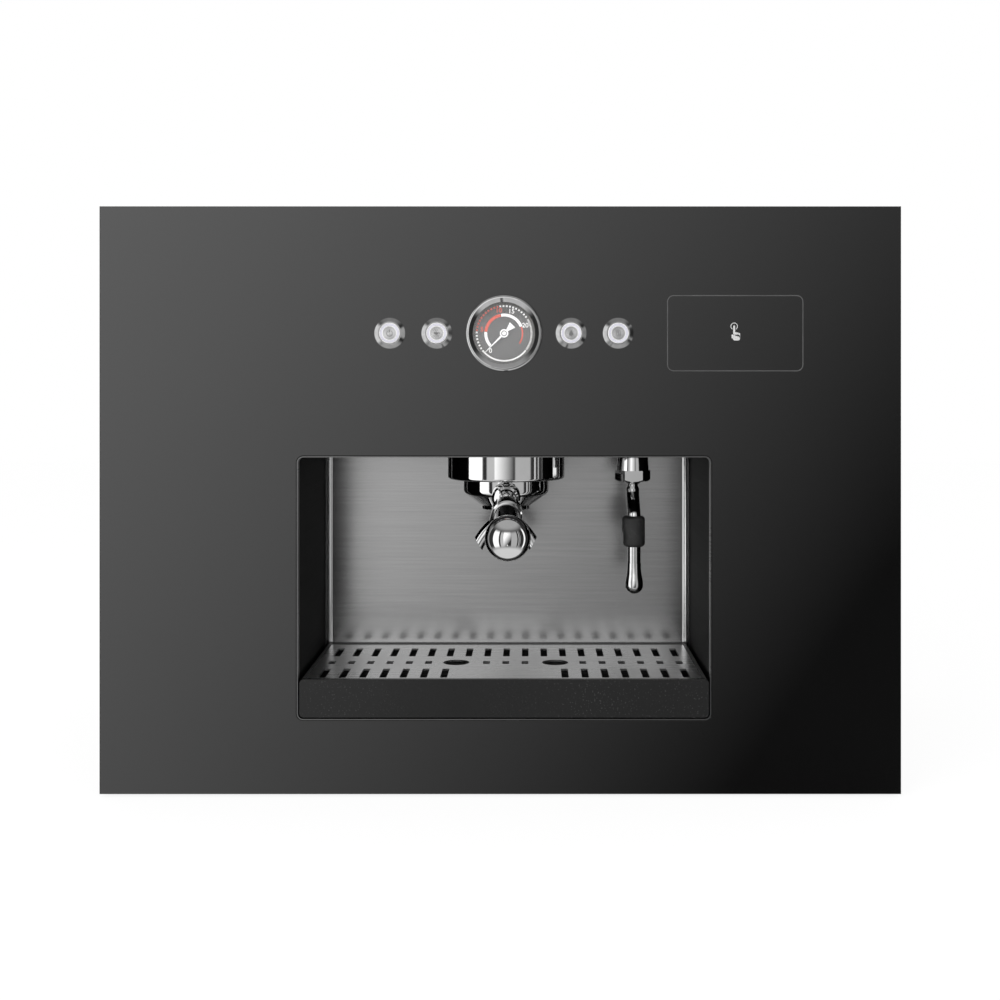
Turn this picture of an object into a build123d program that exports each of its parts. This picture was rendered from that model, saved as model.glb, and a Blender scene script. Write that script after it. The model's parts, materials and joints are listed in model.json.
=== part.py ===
from build123d import *
import os
from math import cos, radians, sin

# A built-in espresso machine for a kitchen cabinet: a glass front with a work niche, a sheet-metal
# housing behind it, and the group, portafilter, steam wand and drip tray that are used from the front.
# Millimetres. X runs to the user's right, Y into the cabinet, Z up. The machine stands on Z = 0, and
# X = 0, Y = 0 is the middle of its bounding box. Depths are counted inwards from the glass front.

os.makedirs("parts", exist_ok=True)

# ---------------------------------------------------------------- driving dimensions
# Clearances
fit_gap = 0.2  # between pieces that are assembled once
slide_gap = 0.3  # between pieces that slide on each other
running_gap = 0.1  # round a piece that turns or slides in a bore
ball_gap = 0.05  # round the steam wand's ball
easy_gap = 1.0  # round a piece that only passes through a sheet

# Front panel
panel_width = 600.0
panel_height = 440.0
glass_thickness = 5.0
glass_chamfer = 0.5
foot_height = 2.0
frame_inset = 2.0  # the frame behind the glass stays this far inside its edge
frame_plate = 1.5
frame_depth = 11.0
frame_rim = 30.0
cabinet_land = 0.5  # the part of the rim outside the housing, which lies on the cabinet, stands this proud
cabinet_land_gap = 0.8

# Work niche
work_x = 2.8  # the niche, group, gauge and buttons share this centre line
niche_width = 310.4
niche_height = 197.6
niche_rise = 55.4  # its foot, above the panel's lower edge
niche_corner = 5.0
niche_depth = 146.0
niche_wall = 1.5
back_corner_r = 5.3
back_plate = 1.2
trim_width = 0.8
trim_gap = 0.1
bed_drop = 3.4
rail_height = 4.5
rail_width = 10.0
rail_inset = 12.0

# Drip tray and its grid
fascia_thickness = 4.0
fascia_height = 29.0
fascia_gap = 0.7
fascia_corner = 3.5
tray_wall = 2.4
tray_side_gap = 2.7
tray_rear_gap = 1.0
tray_rim_drop = 1.2
grid_drop = 0.5  # the grid's top lies this far below the tray's rim
grid_sheet = 1.5
grid_gap = 0.3
ledge_width = 3.2
slot_pitch = 15.4
slot_width = 5.4
slot_corner = 0.8
side_columns = 9  # slot columns each side of the middle one
solid_columns = 2  # of them, those with no slot in the front row
front_row = (29.6, 31.6)  # depth of a row's middle, and its slots' length
middle_row = (68.8, 11.0)
rear_row = (108.6, 32.0)
finger_hole_r = 10.4
finger_hole_offset = 39.5

# Pressure gauge
control_drop = 95.0  # gauge, buttons and display, below the panel's upper edge
gauge_hole_r = 26.0
gauge_wall = 1.6
gauge_depth = 34.0
case_rim = 1.2
dial_seat = 2.0
bezel_overlap = 2.8
bezel_proud = 5.0
bezel_shoulder = 2.6
bezel_crown = 2.6
bezel_bevel = 2.4
lens_thickness = 1.8
lens_lip = 1.1
dial_depth = 4.0
dial_thickness = 1.0
zero_mark = -135.0  # where the needle rests, turned from the right-hand side
needle_depth = 2.2
needle_thickness = 0.5
needle_length = 21.0
needle_tail = 9.0
needle_tip_width = 0.3
needle_width = 1.7
tail_width = 5.8
needle_hub_r = 3.2
needle_shaft_r = 1.2
shaft_bearing = 4.0
movement_r = 6.0
movement_gap = 3.0
tube_loop_r = 15.0
tube_loop_wire = 2.0
tube_loop_angle = 270.0
stem_r = 5.0
stem_length = 12.0

# Push buttons
button_offsets = (-85.4, -50.2, 50.2, 85.4)
button_names = ("power", "espresso", "water", "steam")
button_sleeve_r = 9.4
button_wall = 1.4
button_flange = 2.1
button_skirt = 0.8
button_rim = 0.7
button_proud = 2.6
button_travel = 2.0
cap_proud = 0.3
cap_rim = 0.8
cap_window = 1.5
cap_window_depth = 0.7
cap_edge = 0.2
sleeve_depth = 24.0
plunger_length = 5.0
plunger_gap = 0.5
switch_length = 10.0
nut_wall = 3.6
nut_thickness = 3.5
hexagon = 6

# Touch display behind the glass
display_x = 175.8
display_width = 106.0
display_height = 62.0
display_depth = 7.0
display_gap = 0.5

# Filter basket and portafilter, on one upright axis with the group
group_depth = 72.0
rim_drop = 3.0  # the portafilter's rim, below the niche's ceiling
basket_r = 29.6
basket_sheet = 0.6
basket_depth = 24.0
basket_gap = 1.4
basket_corner = 1.0
basket_hole_r = 0.5
basket_rings = ((6.0, 8), (12.0, 16), (18.0, 22), (24.0, 30))  # radius and holes of each ring
floor_gap = 3.0
porta_wall = 3.3
shoulder_drop = 29.7
shoulder_r = 5.0
cone_height = 10.5
boss_r = 19.3
boss_height = 2.4
outlet_r = 5.0
lug_drop = 10.5
lug_thickness = 5.5
lug_reach = 5.7  # how far a lug stands out of the portafilter's side
lug_angle = 34.0

# Group
bell_r = 47.0
bell_wall = 2.5
bell_drop = 18.7
bell_height = 41.7
bell_edge_r = 2.2
collar_drop = 17.5
collar_gap = 0.9
lug_end_gap = 0.6
lug_clearance = 0.4
lug_entry_angle = 6.0  # the entry slots are this much wider than the lugs
unlock_angle = 45.0
gasket_height = 8.0
gasket_overlap = 0.8
gasket_gap = 0.1
screen_gap = 0.4
screen_thickness = 3.0
screen_drop = 2.0  # how far the screen hangs below the gasket
screen_hole_r = 0.9
screen_rings = ((8.0, 8), (15.0, 14), (22.0, 20))
screw_cap_r = 4.5
screw_cap_height = 1.6
block_neck_r = 12.0
block_neck_length = 17.0
bracket_sheet = 3.0
bracket_width = 124.0
bracket_length = 50.0

# Portafilter handle, on an axis that falls towards the user; distances run along it from the group's axis
handle_root_drop = 21.0
handle_reach = 142.0  # level distance from the group's axis to the ball's middle
handle_tilt = 11.6
handle_yaw = 1.6
socket_drop = 2.2  # the socket's axis runs this far below the handle's
socket_r = 11.0
socket_start = 20.0
socket_end = 41.0
socket_edge = 1.2
neck_root_r = 7.8
neck_end_r = 9.0
neck_end = 78.7
bead_r = 9.3
bead_start = 46.0
bead_length = 4.0
bead_slope = 1.0
ferrule_r = 11.2
ferrule_length = 14.0
ferrule_edge = 1.0
shank_r = 9.6
ball_r = 16.1

# Double spout; each place on an arm is how far out it is and how far below the portafilter's boss
hub_height = 19.4
hub_waist_drop = 12.9
hub_top_r = 11.0
hub_waist_r = 14.0
hub_foot_r = 8.0
arm_r = 5.2
arm_wall = 1.3
arm_root = (3.0, 7.9)
arm_middle = (15.0, 18.2)
arm_end = (24.0, 32.9)
arm_lip = (21.75, 28.5)
arm_cut_angle = 60.0

# Steam wand
wand_offset = 101.7
ball_drop = 18.5  # the wand's ball, below the niche's ceiling
wand_ball_r = 9.0
wand_neck_r = 4.2
wand_pipe_r = 5.2
wand_bore_r = 2.4
wand_forward = 14.0
neck_drop = 11.5  # heights on the wand are counted down from the ball's middle
neck_cone = 2.0
upper_run = 4.0
bend_drop = 30.5
upper_bend = 6.0
lower_bend = 9.0
pipe_drop = 69.1
nut_flats = 24.5
nut_foot_drop = 5.3
nut_rise = 3.3
mouth_r = 7.5
mouth_flare = 0.6
nut_chamfer_width = 3.0
nut_chamfer_height = 2.2
pocket_r = 9.6
pocket_rise = 9.5
fitting_foot_r = 12.9
fitting_top_r = 11.6
fitting_waist_rise = 6.0
fitting_flange_r = 17.0
fitting_flange = 3.0
fitting_head = 16.0
seat_lift = 1.2  # the seat starts this far above the ball's middle
seat_bore_r = 4.0
grip_r = 8.6
grip_drop = 31.9
grip_length = 24.3
grip_edge_r = 3.0
grip_tab = 0.9
grip_tab_length = 12.6
tip_r = 7.2
tip_length = 24.4
tip_neck = 0.3
tip_neck_length = 1.5
tip_waist_r = 6.0
tip_waist_drop = 8.9
tip_hole_r = 0.7
tip_hole_turns = (45.0, 135.0, 225.0, 315.0)
tip_hole_fall = 37.0

# Housing
housing_width = 556.0
housing_depth = 358.0
housing_top_gap = 10.0
sheet = 1.2
flange_height = 30.0
screw_head_r = 4.0
screw_head_height = 2.2
screw_taper = 18.0
screw_shank_r = 1.8
screw_hole_r = 2.0
screw_length = 7.0
screw_inset = 20.0
screw_edge = 12.0
vent_length = 60.0
vent_height = 3.6
vent_pitch = 9.0
vent_spacing = 72.0
vent_rows = 9
rear_vent_columns = 3
top_vent_columns = 5
vent_low_z = 130.0
vent_high_z = 317.0
rear_vent_x = 120.0
side_vent_shift = 85.0
top_vent_shift = 40.0
shelf_hole_r = 2.75
shelf_hole_x = 250.0
shelf_hole_depths = (70.0, 310.0)
foot_pad_r = 12.0
foot_pad_x = 214.0

# Equipment deck, boilers and valves
deck_rise = 11.0  # the deck, above the niche's ceiling
deck_sheet = 2.0
deck_front_gap = 4.0
boiler_spacing = 100.0  # from the group's axis to the brew boiler's
brew_boiler_r = 38.0
brew_boiler_height = 112.0
brew_legs = 3
brew_leg_length = 6.0
brew_leg_r = 5.0
brew_leg_circle = 30.0
boiler_wall = 2.0
boiler_flange = 6.0
boiler_flange_rise = 78.0
brew_dome = (14.0, 8.0)  # how far the dome draws in, and its height
steam_boiler_x = 182.0
steam_boiler_lift = 12.0
steam_boiler_r = 46.0
steam_boiler_front = 130.0
steam_boiler_length = 160.0
steam_dome = (12.0, 14.0)
saddle_width = 60.0
saddle_sheet = 6.0
saddle_depths = (155.0, 255.0)
saddle_rise = 38.0
valve_width = 26.0
valve_height = 20.0
coil_r = 16.0
coil_height = 36.0
tube_r = 3.0
steam_pipe_drop = 8.0
steam_pipe_bend = 25.0

# Water supply
pump_x = -215.0
pump_z = 45.0
pump_front = 85.0
pump_stages = ((7.0, 14.0), (14.0, 20.0), (21.0, 64.0), (9.0, 22.0))  # radius and length
pump_yoke_width = 48.0
pump_yoke_length = 46.0
pump_yoke_start = 42.0
pump_pad = (36.0, 30.0)
inlet_x = 205.0
inlet_z = 60.0
inlet_r = 13.2
inlet_bore_r = 9.0
inlet_reach = 22.0
inlet_nut_length = 7.0
inlet_nut_wall = 4.0
inlet_body = (40.0, 36.0, 30.0)
inlet_coil_r = 14.0
inlet_coil_height = 34.0
hose_r = 5.0
hose_bend = 30.0
hose_run_depth = 270.0
riser_depth = 50.0
riser_bend = 15.0
delivery_bend = 40.0

# Electrics
board_gap = 12.0
board_sheet = 1.6
board_length = 160.0
board_height = 120.0
board_depth = 190.0
board_lift = 12.0
board_post_r = 3.0
board_post_inset = 5.0
board_parts = (  # depth and height from the board's middle, length, height and thickness
    (-55.0, -45.0, 38.0, 20.0, 16.0),
    (-16.0, -45.0, 18.0, 16.0, 16.0),
    (8.0, -45.0, 18.0, 16.0, 16.0),
    (32.0, -45.0, 18.0, 16.0, 16.0),
    (-40.0, 20.0, 46.0, 40.0, 24.0),
)
capacitor_r = 8.0
capacitor_height = 22.0
capacitor_pitch = 26.0
capacitor_columns = 3
capacitor_rows = 2
capacitor_place = (30.0, 20.0)
gland_x = -220.0
gland_z = 60.0
gland_bore_r = 4.5
gland_r = 8.0
gland_flange = 4.0
gland_flange_length = 6.0
gland_inner_length = 8.0
gland_reach = 18.0

# Cooling fan
fan_x = -120.0
fan_size = 60.0
fan_thickness = 25.0
fan_corner = 4.0
fan_bore_r = 28.0
fan_screw_inset = 5.0
fan_screw_r = 2.0
fan_arms = 4
arm_turn = 45.0
motor_r = 11.0
motor_plate = 3.0
strut_width = 4.0
strut_overlap = 3.0
fan_post_r = 3.0
fan_post_length = 12.0
rotor_gap = 0.5
rotor_length = 18.0
fan_hub_r = 12.0
fan_tip_gap = 2.0
fan_blades = 7
blade_chord = 18.0
blade_thickness = 1.6
blade_pitch = 37.0
blade_root = 2.0
guard_rings = (8.0, 15.0, 22.0, 29.0)
guard_wire_r = 1.0
guard_proud = 4.0
guard_foot_r = 3.0
guard_foot_circle = 34.0

# ---------------------------------------------------------------- worked-out places
yaw = radians(handle_yaw)
tilt = radians(handle_tilt)
front_reach = handle_reach * cos(yaw) + ball_r - group_depth
front_y = (front_reach - housing_depth - inlet_reach) / 2
group_y = front_y + group_depth
panel_mid = foot_height + panel_height / 2
seat_depth = glass_thickness + frame_depth
shell_front = glass_thickness + frame_plate
shell_back = niche_depth + back_plate
shell_width = niche_width - 2 * fit_gap
shell_length = shell_back + niche_wall - shell_front
niche_foot = foot_height + niche_rise
niche_top = niche_foot + niche_height
niche_mid = niche_foot + niche_height / 2
bed_z = niche_foot - bed_drop
opening_inset = trim_gap + trim_width + fascia_gap
fascia_width = niche_width - 2 * opening_inset
fascia_top = niche_foot + opening_inset + fascia_height
tray_half = niche_width / 2 - tray_side_gap
tray_foot = bed_z + rail_height + slide_gap
tray_length = niche_depth - tray_rear_gap - fascia_thickness
tray_rim = fascia_top - tray_rim_drop
ledge_z = tray_rim - grid_drop - grid_sheet
control_z = foot_height + panel_height - control_drop
gauge_r = gauge_hole_r + bezel_overlap
gauge_case_r = gauge_hole_r - 2 * fit_gap
lens_r = gauge_case_r - case_rim
lens_lip_r = lens_r - lens_lip
bezel_crown_r = gauge_r - bezel_crown
dial_back = dial_depth + dial_thickness
case_floor = gauge_depth - gauge_wall
movement_front = dial_back + movement_gap
button_bore_r = button_sleeve_r - button_wall
button_flange_r = button_sleeve_r + button_flange
porta_cavity_r = basket_r + basket_gap
porta_r = porta_cavity_r + porta_wall
porta_rim_z = niche_top - rim_drop
porta_shoulder_z = porta_rim_z - shoulder_drop
porta_cone_z = porta_shoulder_z - cone_height
porta_boss_z = porta_cone_z - boss_height
basket_top = porta_rim_z + basket_sheet
basket_floor = porta_rim_z - basket_depth
porta_floor_z = basket_floor - floor_gap
lug_z = porta_rim_z - lug_drop
collar_foot = porta_rim_z - collar_drop
collar_r = bell_r - bell_wall - fit_gap
collar_bore_r = porta_r + collar_gap
groove_r = porta_r + lug_reach + lug_end_gap
groove_top = lug_z + lug_thickness + lug_clearance
bell_foot = porta_rim_z - bell_drop
bell_top = bell_foot + bell_height
gasket_bore_r = basket_r - gasket_overlap
gasket_foot = basket_top + gasket_gap
gasket_top = gasket_foot + gasket_height
screen_r = gasket_bore_r - screen_gap
screen_z = gasket_foot - screen_drop
block_top = bell_top - bell_wall + block_neck_length
wand_x = work_x + wand_offset
wand_ball_z = niche_top - ball_drop
wand_ball_clear = wand_ball_r + ball_gap
neck_z = wand_ball_z - neck_drop
pipe_y = group_y - wand_forward
pipe_foot = wand_ball_z - pipe_drop
nut_foot = wand_ball_z - nut_foot_drop
nut_top = wand_ball_z + nut_rise
pocket_top = wand_ball_z + pocket_rise
deck_z = niche_top + deck_rise
deck_top = deck_z + deck_sheet
fitting_top = deck_top + fitting_head
housing_top = foot_height + panel_height - housing_top_gap
side_height = housing_top - sheet - foot_height
inner_half = housing_width / 2 - sheet
wall_depth = housing_depth - sheet  # the rear panel's inner face
seat_y = front_y + seat_depth
back_y = front_y + housing_depth
floor_length = wall_depth - seat_depth
brew_boiler_depth = group_depth + boiler_spacing
brew_boiler_foot = deck_top + brew_leg_length
steam_boiler_z = deck_top + steam_boiler_lift + steam_boiler_r
valve_z = block_top + valve_height / 2
steam_pipe_z = valve_z - steam_pipe_drop
board_z = deck_top + board_lift + board_height / 2
fan_z = (deck_top + housing_top) / 2  # half way between the deck and the cover


def facing(depth, x=0.0, z=0.0):
    """A plane parallel to the glass, local X to the right and local Y up; a negative extrude goes inwards."""
    return Plane(origin=(x, front_y + depth, z), x_dir=(1, 0, 0), z_dir=(0, -1, 0))


def level(z, x=0.0, y=0.0):
    """A level plane at a height, with its origin at x, y."""
    return Plane(origin=(x, y, z), x_dir=(1, 0, 0), z_dir=(0, 0, 1))


def inward(x, z):
    """A level plane whose local X is a radius and whose local Y is the depth behind the glass front."""
    return level(z, x, front_y)


def radial(turn):
    """An upright plane through the group's axis: local X is a radius at that turn, local Y the height."""
    across, along = cos(radians(turn)), sin(radians(turn))
    return Plane(origin=(work_x, group_y, 0), x_dir=(across, along, 0), z_dir=(along, -across, 0))


def upright_axis(x, depth):
    """The vertical axis at that place."""
    return Axis((x, front_y + depth, 0), (0, 0, 1))


def inward_axis(x, z):
    """The axis that runs straight into the cabinet at that place."""
    return Axis((x, front_y, z), (0, 1, 0))


def turned(outline, plane, axis, angle=360.0, mode=Mode.ADD):
    """Turns a closed outline about an axis, in the part being built."""
    with BuildSketch(plane) as profile:
        with BuildLine():
            Polyline(*outline, close=True)
        make_face()
    revolve(profile.sketch, axis=axis, revolution_arc=angle, mode=mode)


def staged(start, stages):
    """The half outline of a turned piece with stages of (radius, length) one behind the other."""
    points = [(0, start)]
    for radius, length in stages:
        points += [(radius, start), (radius, start + length)]
        start += length
    return points + [(0, start)]


def bore(radius, plane, length):
    """Cuts a round hole from a plane along its normal, out of the part being built."""
    with BuildSketch(plane) as hole:
        Circle(radius)
    extrude(hole.sketch, amount=length, mode=Mode.SUBTRACT)


def save(piece, name):
    """Labels a finished piece and writes its file."""
    piece.part.label = name
    export_step(piece.part, f"parts/{name}.step")


button_places = [(work_x + offset, control_z) for offset in button_offsets]

# ---------------------------------------------------------------- glass front and its frame
with BuildPart() as front_glass:
    with BuildSketch(facing(0, 0, panel_mid)):
        Rectangle(panel_width, panel_height)
    extrude(amount=-glass_thickness)
    with BuildSketch(facing(0)):
        with Locations((work_x, niche_mid)):
            RectangleRounded(niche_width, niche_height, niche_corner)
        with Locations((work_x, control_z)):
            Circle(gauge_hole_r)
        with Locations(*button_places):
            Circle(button_sleeve_r + fit_gap)
    extrude(amount=-glass_thickness, mode=Mode.SUBTRACT)
    chamfer(front_glass.faces().sort_by(Axis.Y)[0].edges(), glass_chamfer)
save(front_glass, "front_glass")

frame_width = panel_width - 2 * frame_inset
frame_height = panel_height - 2 * frame_inset
with BuildPart() as glass_frame:
    with BuildSketch(facing(glass_thickness, 0, panel_mid)):
        Rectangle(frame_width, frame_height)
    extrude(amount=-frame_depth)
    with BuildSketch(facing(shell_front, 0, panel_mid)):
        Rectangle(frame_width - 2 * frame_rim, frame_height - 2 * frame_rim)
    extrude(amount=frame_plate - frame_depth, mode=Mode.SUBTRACT)
    with BuildSketch(facing(glass_thickness)):
        with Locations((work_x, niche_mid)):
            RectangleRounded(niche_width, niche_height, niche_corner)
        with Locations((work_x, control_z)):
            Circle(gauge_hole_r)
        with Locations(*button_places):
            Circle(button_sleeve_r + fit_gap)
        with Locations((display_x, control_z)):
            Rectangle(display_width + 2 * display_gap, display_height + 2 * display_gap)
    extrude(amount=-frame_plate, mode=Mode.SUBTRACT)
    with BuildSketch(facing(seat_depth)):
        with Locations((0, panel_mid)):
            Rectangle(frame_width, frame_height)
        with Locations((0, (foot_height + housing_top) / 2)):
            Rectangle(
                housing_width + 2 * cabinet_land_gap,
                housing_top - foot_height + 2 * cabinet_land_gap,
                mode=Mode.SUBTRACT,
            )
    extrude(amount=-cabinet_land)
save(glass_frame, "glass_frame")

with BuildPart() as touch_display:
    with BuildSketch(facing(glass_thickness, display_x, control_z)):
        Rectangle(display_width, display_height)
    extrude(amount=-display_depth)
save(touch_display, "touch_display")

# ---------------------------------------------------------------- work niche
with BuildPart() as niche_trim:
    with BuildSketch(facing(0, work_x, niche_mid)):
        RectangleRounded(niche_width - 2 * trim_gap, niche_height - 2 * trim_gap, niche_corner - trim_gap)
        offset(amount=-trim_width, mode=Mode.SUBTRACT)
    extrude(amount=-shell_front)
save(niche_trim, "niche_trim")

shell_origin = (work_x, front_y + shell_front)
with BuildPart() as niche_shell:
    with BuildSketch(level(bed_z, *shell_origin)):
        Rectangle(shell_width + 2 * niche_wall, shell_length, align=(Align.CENTER, Align.MIN))
        fillet(vertices().group_by(Axis.Y)[-1], back_corner_r + niche_wall)
    extrude(amount=niche_top + niche_wall - bed_z)
    with BuildSketch(level(bed_z, *shell_origin)):
        Rectangle(shell_width, shell_length - niche_wall, align=(Align.CENTER, Align.MIN))
        fillet(vertices().group_by(Axis.Y)[-1], back_corner_r)
    extrude(amount=niche_top - bed_z, mode=Mode.SUBTRACT)
    bore(bell_r + fit_gap, level(niche_top, work_x, group_y), niche_wall)
    bore(fitting_foot_r + fit_gap, level(niche_top, wand_x, group_y), niche_wall)
save(niche_shell, "niche_shell")

with BuildPart() as niche_back_plate:
    with BuildSketch(facing(niche_depth, work_x, (bed_z + niche_top) / 2)):
        Rectangle(shell_width - 2 * back_corner_r, niche_top - bed_z)
    extrude(amount=-back_plate)
save(niche_back_plate, "niche_back_plate")

with BuildPart() as tray_bed:
    with BuildSketch(level(bed_z, *shell_origin)):
        Rectangle(shell_width + 2 * niche_wall, shell_length, align=(Align.CENTER, Align.MIN))
        fillet(vertices().group_by(Axis.Y)[-1], back_corner_r + niche_wall)
    extrude(amount=-niche_wall)
    with BuildSketch(level(bed_z, *shell_origin)):
        with GridLocations(2 * (tray_half - rail_inset), 0, 2, 1):
            Rectangle(rail_width, niche_depth - shell_front, align=(Align.CENTER, Align.MIN))
    extrude(amount=rail_height)
save(tray_bed, "tray_bed")

# ---------------------------------------------------------------- drip tray
tray_origin = (work_x, front_y + fascia_thickness + tray_length / 2)
with BuildPart() as drip_tray:
    with BuildSketch(level(tray_foot, *tray_origin)):
        Rectangle(2 * tray_half, tray_length)
        fillet(vertices().group_by(Axis.Y)[-1], fascia_corner)
    extrude(amount=tray_rim - tray_foot)
    fillet(drip_tray.faces().sort_by(Axis.Z)[0].edges(), fascia_corner - fit_gap)
    with BuildSketch(level(ledge_z, *tray_origin)):
        Rectangle(2 * (tray_half - tray_wall), tray_length - 2 * tray_wall)
    extrude(amount=tray_rim - ledge_z, mode=Mode.SUBTRACT)
    basin_inset = tray_wall + ledge_width
    with BuildSketch(level(tray_foot + tray_wall, *tray_origin)):
        RectangleRounded(2 * (tray_half - basin_inset), tray_length - 2 * basin_inset, fascia_corner)
    extrude(amount=ledge_z - tray_foot - tray_wall, mode=Mode.SUBTRACT)
save(drip_tray, "drip_tray")

with BuildPart() as tray_fascia:
    with BuildSketch(facing(0, work_x, fascia_top - fascia_height / 2)):
        RectangleRounded(fascia_width, fascia_height, fascia_corner)
    extrude(amount=-fascia_thickness)
    chamfer(tray_fascia.faces().sort_by(Axis.Y)[0].edges(), glass_chamfer)
save(tray_fascia, "tray_fascia")

finger_column = finger_hole_offset / slot_pitch
grid_inset = tray_wall + grid_gap
with BuildPart() as drip_grid:
    with BuildSketch(level(ledge_z, *tray_origin)):
        RectangleRounded(2 * (tray_half - grid_inset), tray_length - 2 * grid_inset, slot_corner)
    extrude(amount=grid_sheet)
    with BuildSketch(level(ledge_z, work_x, front_y)):
        for column in range(-side_columns, side_columns + 1):
            rows = [rear_row]
            if abs(abs(column) - finger_column) > 1:
                rows.append(middle_row)
            if abs(column) > solid_columns:
                rows.append(front_row)
            for depth, length in rows:
                with Locations((column * slot_pitch, depth)):
                    RectangleRounded(slot_width, length, slot_corner)
        with Locations((-finger_hole_offset, middle_row[0]), (finger_hole_offset, middle_row[0])):
            Circle(finger_hole_r)
    extrude(amount=grid_sheet, mode=Mode.SUBTRACT)
save(drip_grid, "drip_grid")

# ---------------------------------------------------------------- pressure gauge
gauge_axis = inward_axis(work_x, control_z)
with BuildPart() as gauge_case:
    stages = ((gauge_case_r, gauge_depth), (stem_r, stem_length))
    turned(staged(0, stages), inward(work_x, control_z), gauge_axis)
    bore(lens_r - dial_seat, facing(case_floor, work_x, control_z), case_floor)
    bore(lens_r, facing(dial_back, work_x, control_z), dial_back)
save(gauge_case, "gauge_case")

with BuildPart() as gauge_bezel:
    with BuildSketch(inward(work_x, control_z)):
        with BuildLine():
            Polyline((lens_r, -lens_thickness), (lens_r, 0), (gauge_r, 0), (gauge_r, -bezel_shoulder))
            TangentArc((gauge_r, -bezel_shoulder), (bezel_crown_r, -bezel_proud), tangent=(0, -1))
            Polyline(
                (bezel_crown_r, -bezel_proud),
                (lens_lip_r, -bezel_bevel),
                (lens_lip_r, -lens_thickness),
                (lens_r, -lens_thickness),
            )
        make_face()
    revolve(axis=gauge_axis)
save(gauge_bezel, "gauge_bezel")

with BuildPart() as gauge_lens:
    with BuildSketch(facing(-lens_thickness, work_x, control_z)):
        Circle(lens_r)
    extrude(amount=-lens_thickness)
save(gauge_lens, "gauge_lens")

with BuildPart() as gauge_dial:
    with BuildSketch(facing(dial_depth, work_x, control_z)):
        Circle(lens_r)
        Circle(needle_shaft_r + running_gap, mode=Mode.SUBTRACT)
    extrude(amount=-dial_thickness)
save(gauge_dial, "gauge_dial")

loop_depth = (movement_front + case_floor) / 2
with BuildPart() as gauge_movement:
    with BuildSketch(facing(movement_front, work_x, control_z)):
        Circle(movement_r)
    extrude(amount=movement_front - case_floor)
    # The pressure tube is a C that starts at a lug on the movement.
    with BuildSketch(level(control_z, work_x + tube_loop_r, front_y + loop_depth)):
        Circle(tube_loop_wire)
    revolve(axis=gauge_axis, revolution_arc=tube_loop_angle)
    with BuildSketch(facing(loop_depth - tube_loop_wire, work_x, control_z)):
        Rectangle(tube_loop_r, 2 * tube_loop_wire, align=(Align.MIN, Align.CENTER))
    extrude(amount=-2 * tube_loop_wire)
    bearing_end = facing(movement_front + shaft_bearing, work_x, control_z)
    bore(needle_shaft_r + running_gap, bearing_end, shaft_bearing)
save(gauge_movement, "gauge_movement")

needle_plane = Plane(
    origin=(work_x, front_y + needle_depth, control_z),
    x_dir=(cos(radians(zero_mark)), 0, sin(radians(zero_mark))),
    z_dir=(0, -1, 0),
)
with BuildPart() as gauge_needle:
    with BuildSketch(needle_plane):
        with BuildLine():
            Polyline(
                (0, needle_width / 2),
                (needle_length, needle_tip_width / 2),
                (needle_length, -needle_tip_width / 2),
                (0, -needle_width / 2),
                (-needle_hub_r, -needle_width / 2),
                (-needle_tail, -tail_width / 2),
                (-needle_tail, tail_width / 2),
                (-needle_hub_r, needle_width / 2),
                close=True,
            )
        make_face()
        Circle(needle_hub_r)
    extrude(amount=-needle_thickness)
    with BuildSketch(needle_plane):
        Circle(needle_shaft_r)
    extrude(amount=needle_depth - movement_front - shaft_bearing + running_gap)
save(gauge_needle, "gauge_needle")

# ---------------------------------------------------------------- push buttons
with BuildPart() as button_bezels:
    for x, z in button_places:
        turned(
            (
                (button_bore_r, -button_proud),
                (button_bore_r + button_rim, -button_proud),
                (button_flange_r, -button_skirt),
                (button_flange_r, 0),
                (button_sleeve_r, 0),
                (button_sleeve_r, sleeve_depth),
                (button_bore_r, sleeve_depth),
            ),
            inward(x, z),
            inward_axis(x, z),
        )
save(button_bezels, "button_bezels")

cap_r = button_bore_r - running_gap
cap_front = -button_proud - cap_proud
window_r = cap_r - cap_rim
disc_r = window_r - cap_window
plunger_front = sleeve_depth - plunger_length
for name, (x, z) in zip(button_names, button_places):
    with BuildPart() as cap:
        turned(
            (
                (0, cap_front),
                (disc_r, cap_front),
                (disc_r, cap_front + cap_window_depth),
                (window_r, cap_front + cap_window_depth),
                (window_r, cap_front),
                (cap_r, cap_front + cap_edge),
                (cap_r, plunger_front - button_travel - plunger_gap),
                (0, plunger_front - button_travel - plunger_gap),
            ),
            inward(x, z),
            inward_axis(x, z),
        )
    save(cap, f"{name}_button_cap")

with BuildPart() as button_switches:
    for x, z in button_places:
        with BuildSketch(facing(shell_front, x, z)):
            RegularPolygon(button_sleeve_r + nut_wall, hexagon, major_radius=False)
            Circle(button_sleeve_r, mode=Mode.SUBTRACT)
        extrude(amount=-nut_thickness)
        stages = ((button_bore_r, plunger_length), (button_sleeve_r, switch_length))
        turned(staged(plunger_front, stages), inward(x, z), inward_axis(x, z))
save(button_switches, "button_switches")

# ---------------------------------------------------------------- group head
group_axis = upright_axis(work_x, group_depth)

with BuildPart() as group_bell:
    turned(
        (
            (bell_r - bell_wall, bell_foot),
            (bell_r, bell_foot),
            (bell_r, bell_top),
            (block_neck_r + fit_gap, bell_top),
            (block_neck_r + fit_gap, bell_top - bell_wall),
            (bell_r - bell_wall, bell_top - bell_wall),
        ),
        radial(0),
        group_axis,
    )
    lower_edges = group_bell.edges().filter_by(GeomType.CIRCLE).group_by(Axis.Z)[0]
    fillet(lower_edges.sort_by(SortBy.RADIUS)[-1], min(bell_edge_r, bell_wall - fit_gap))
save(group_bell, "group_bell")

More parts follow.
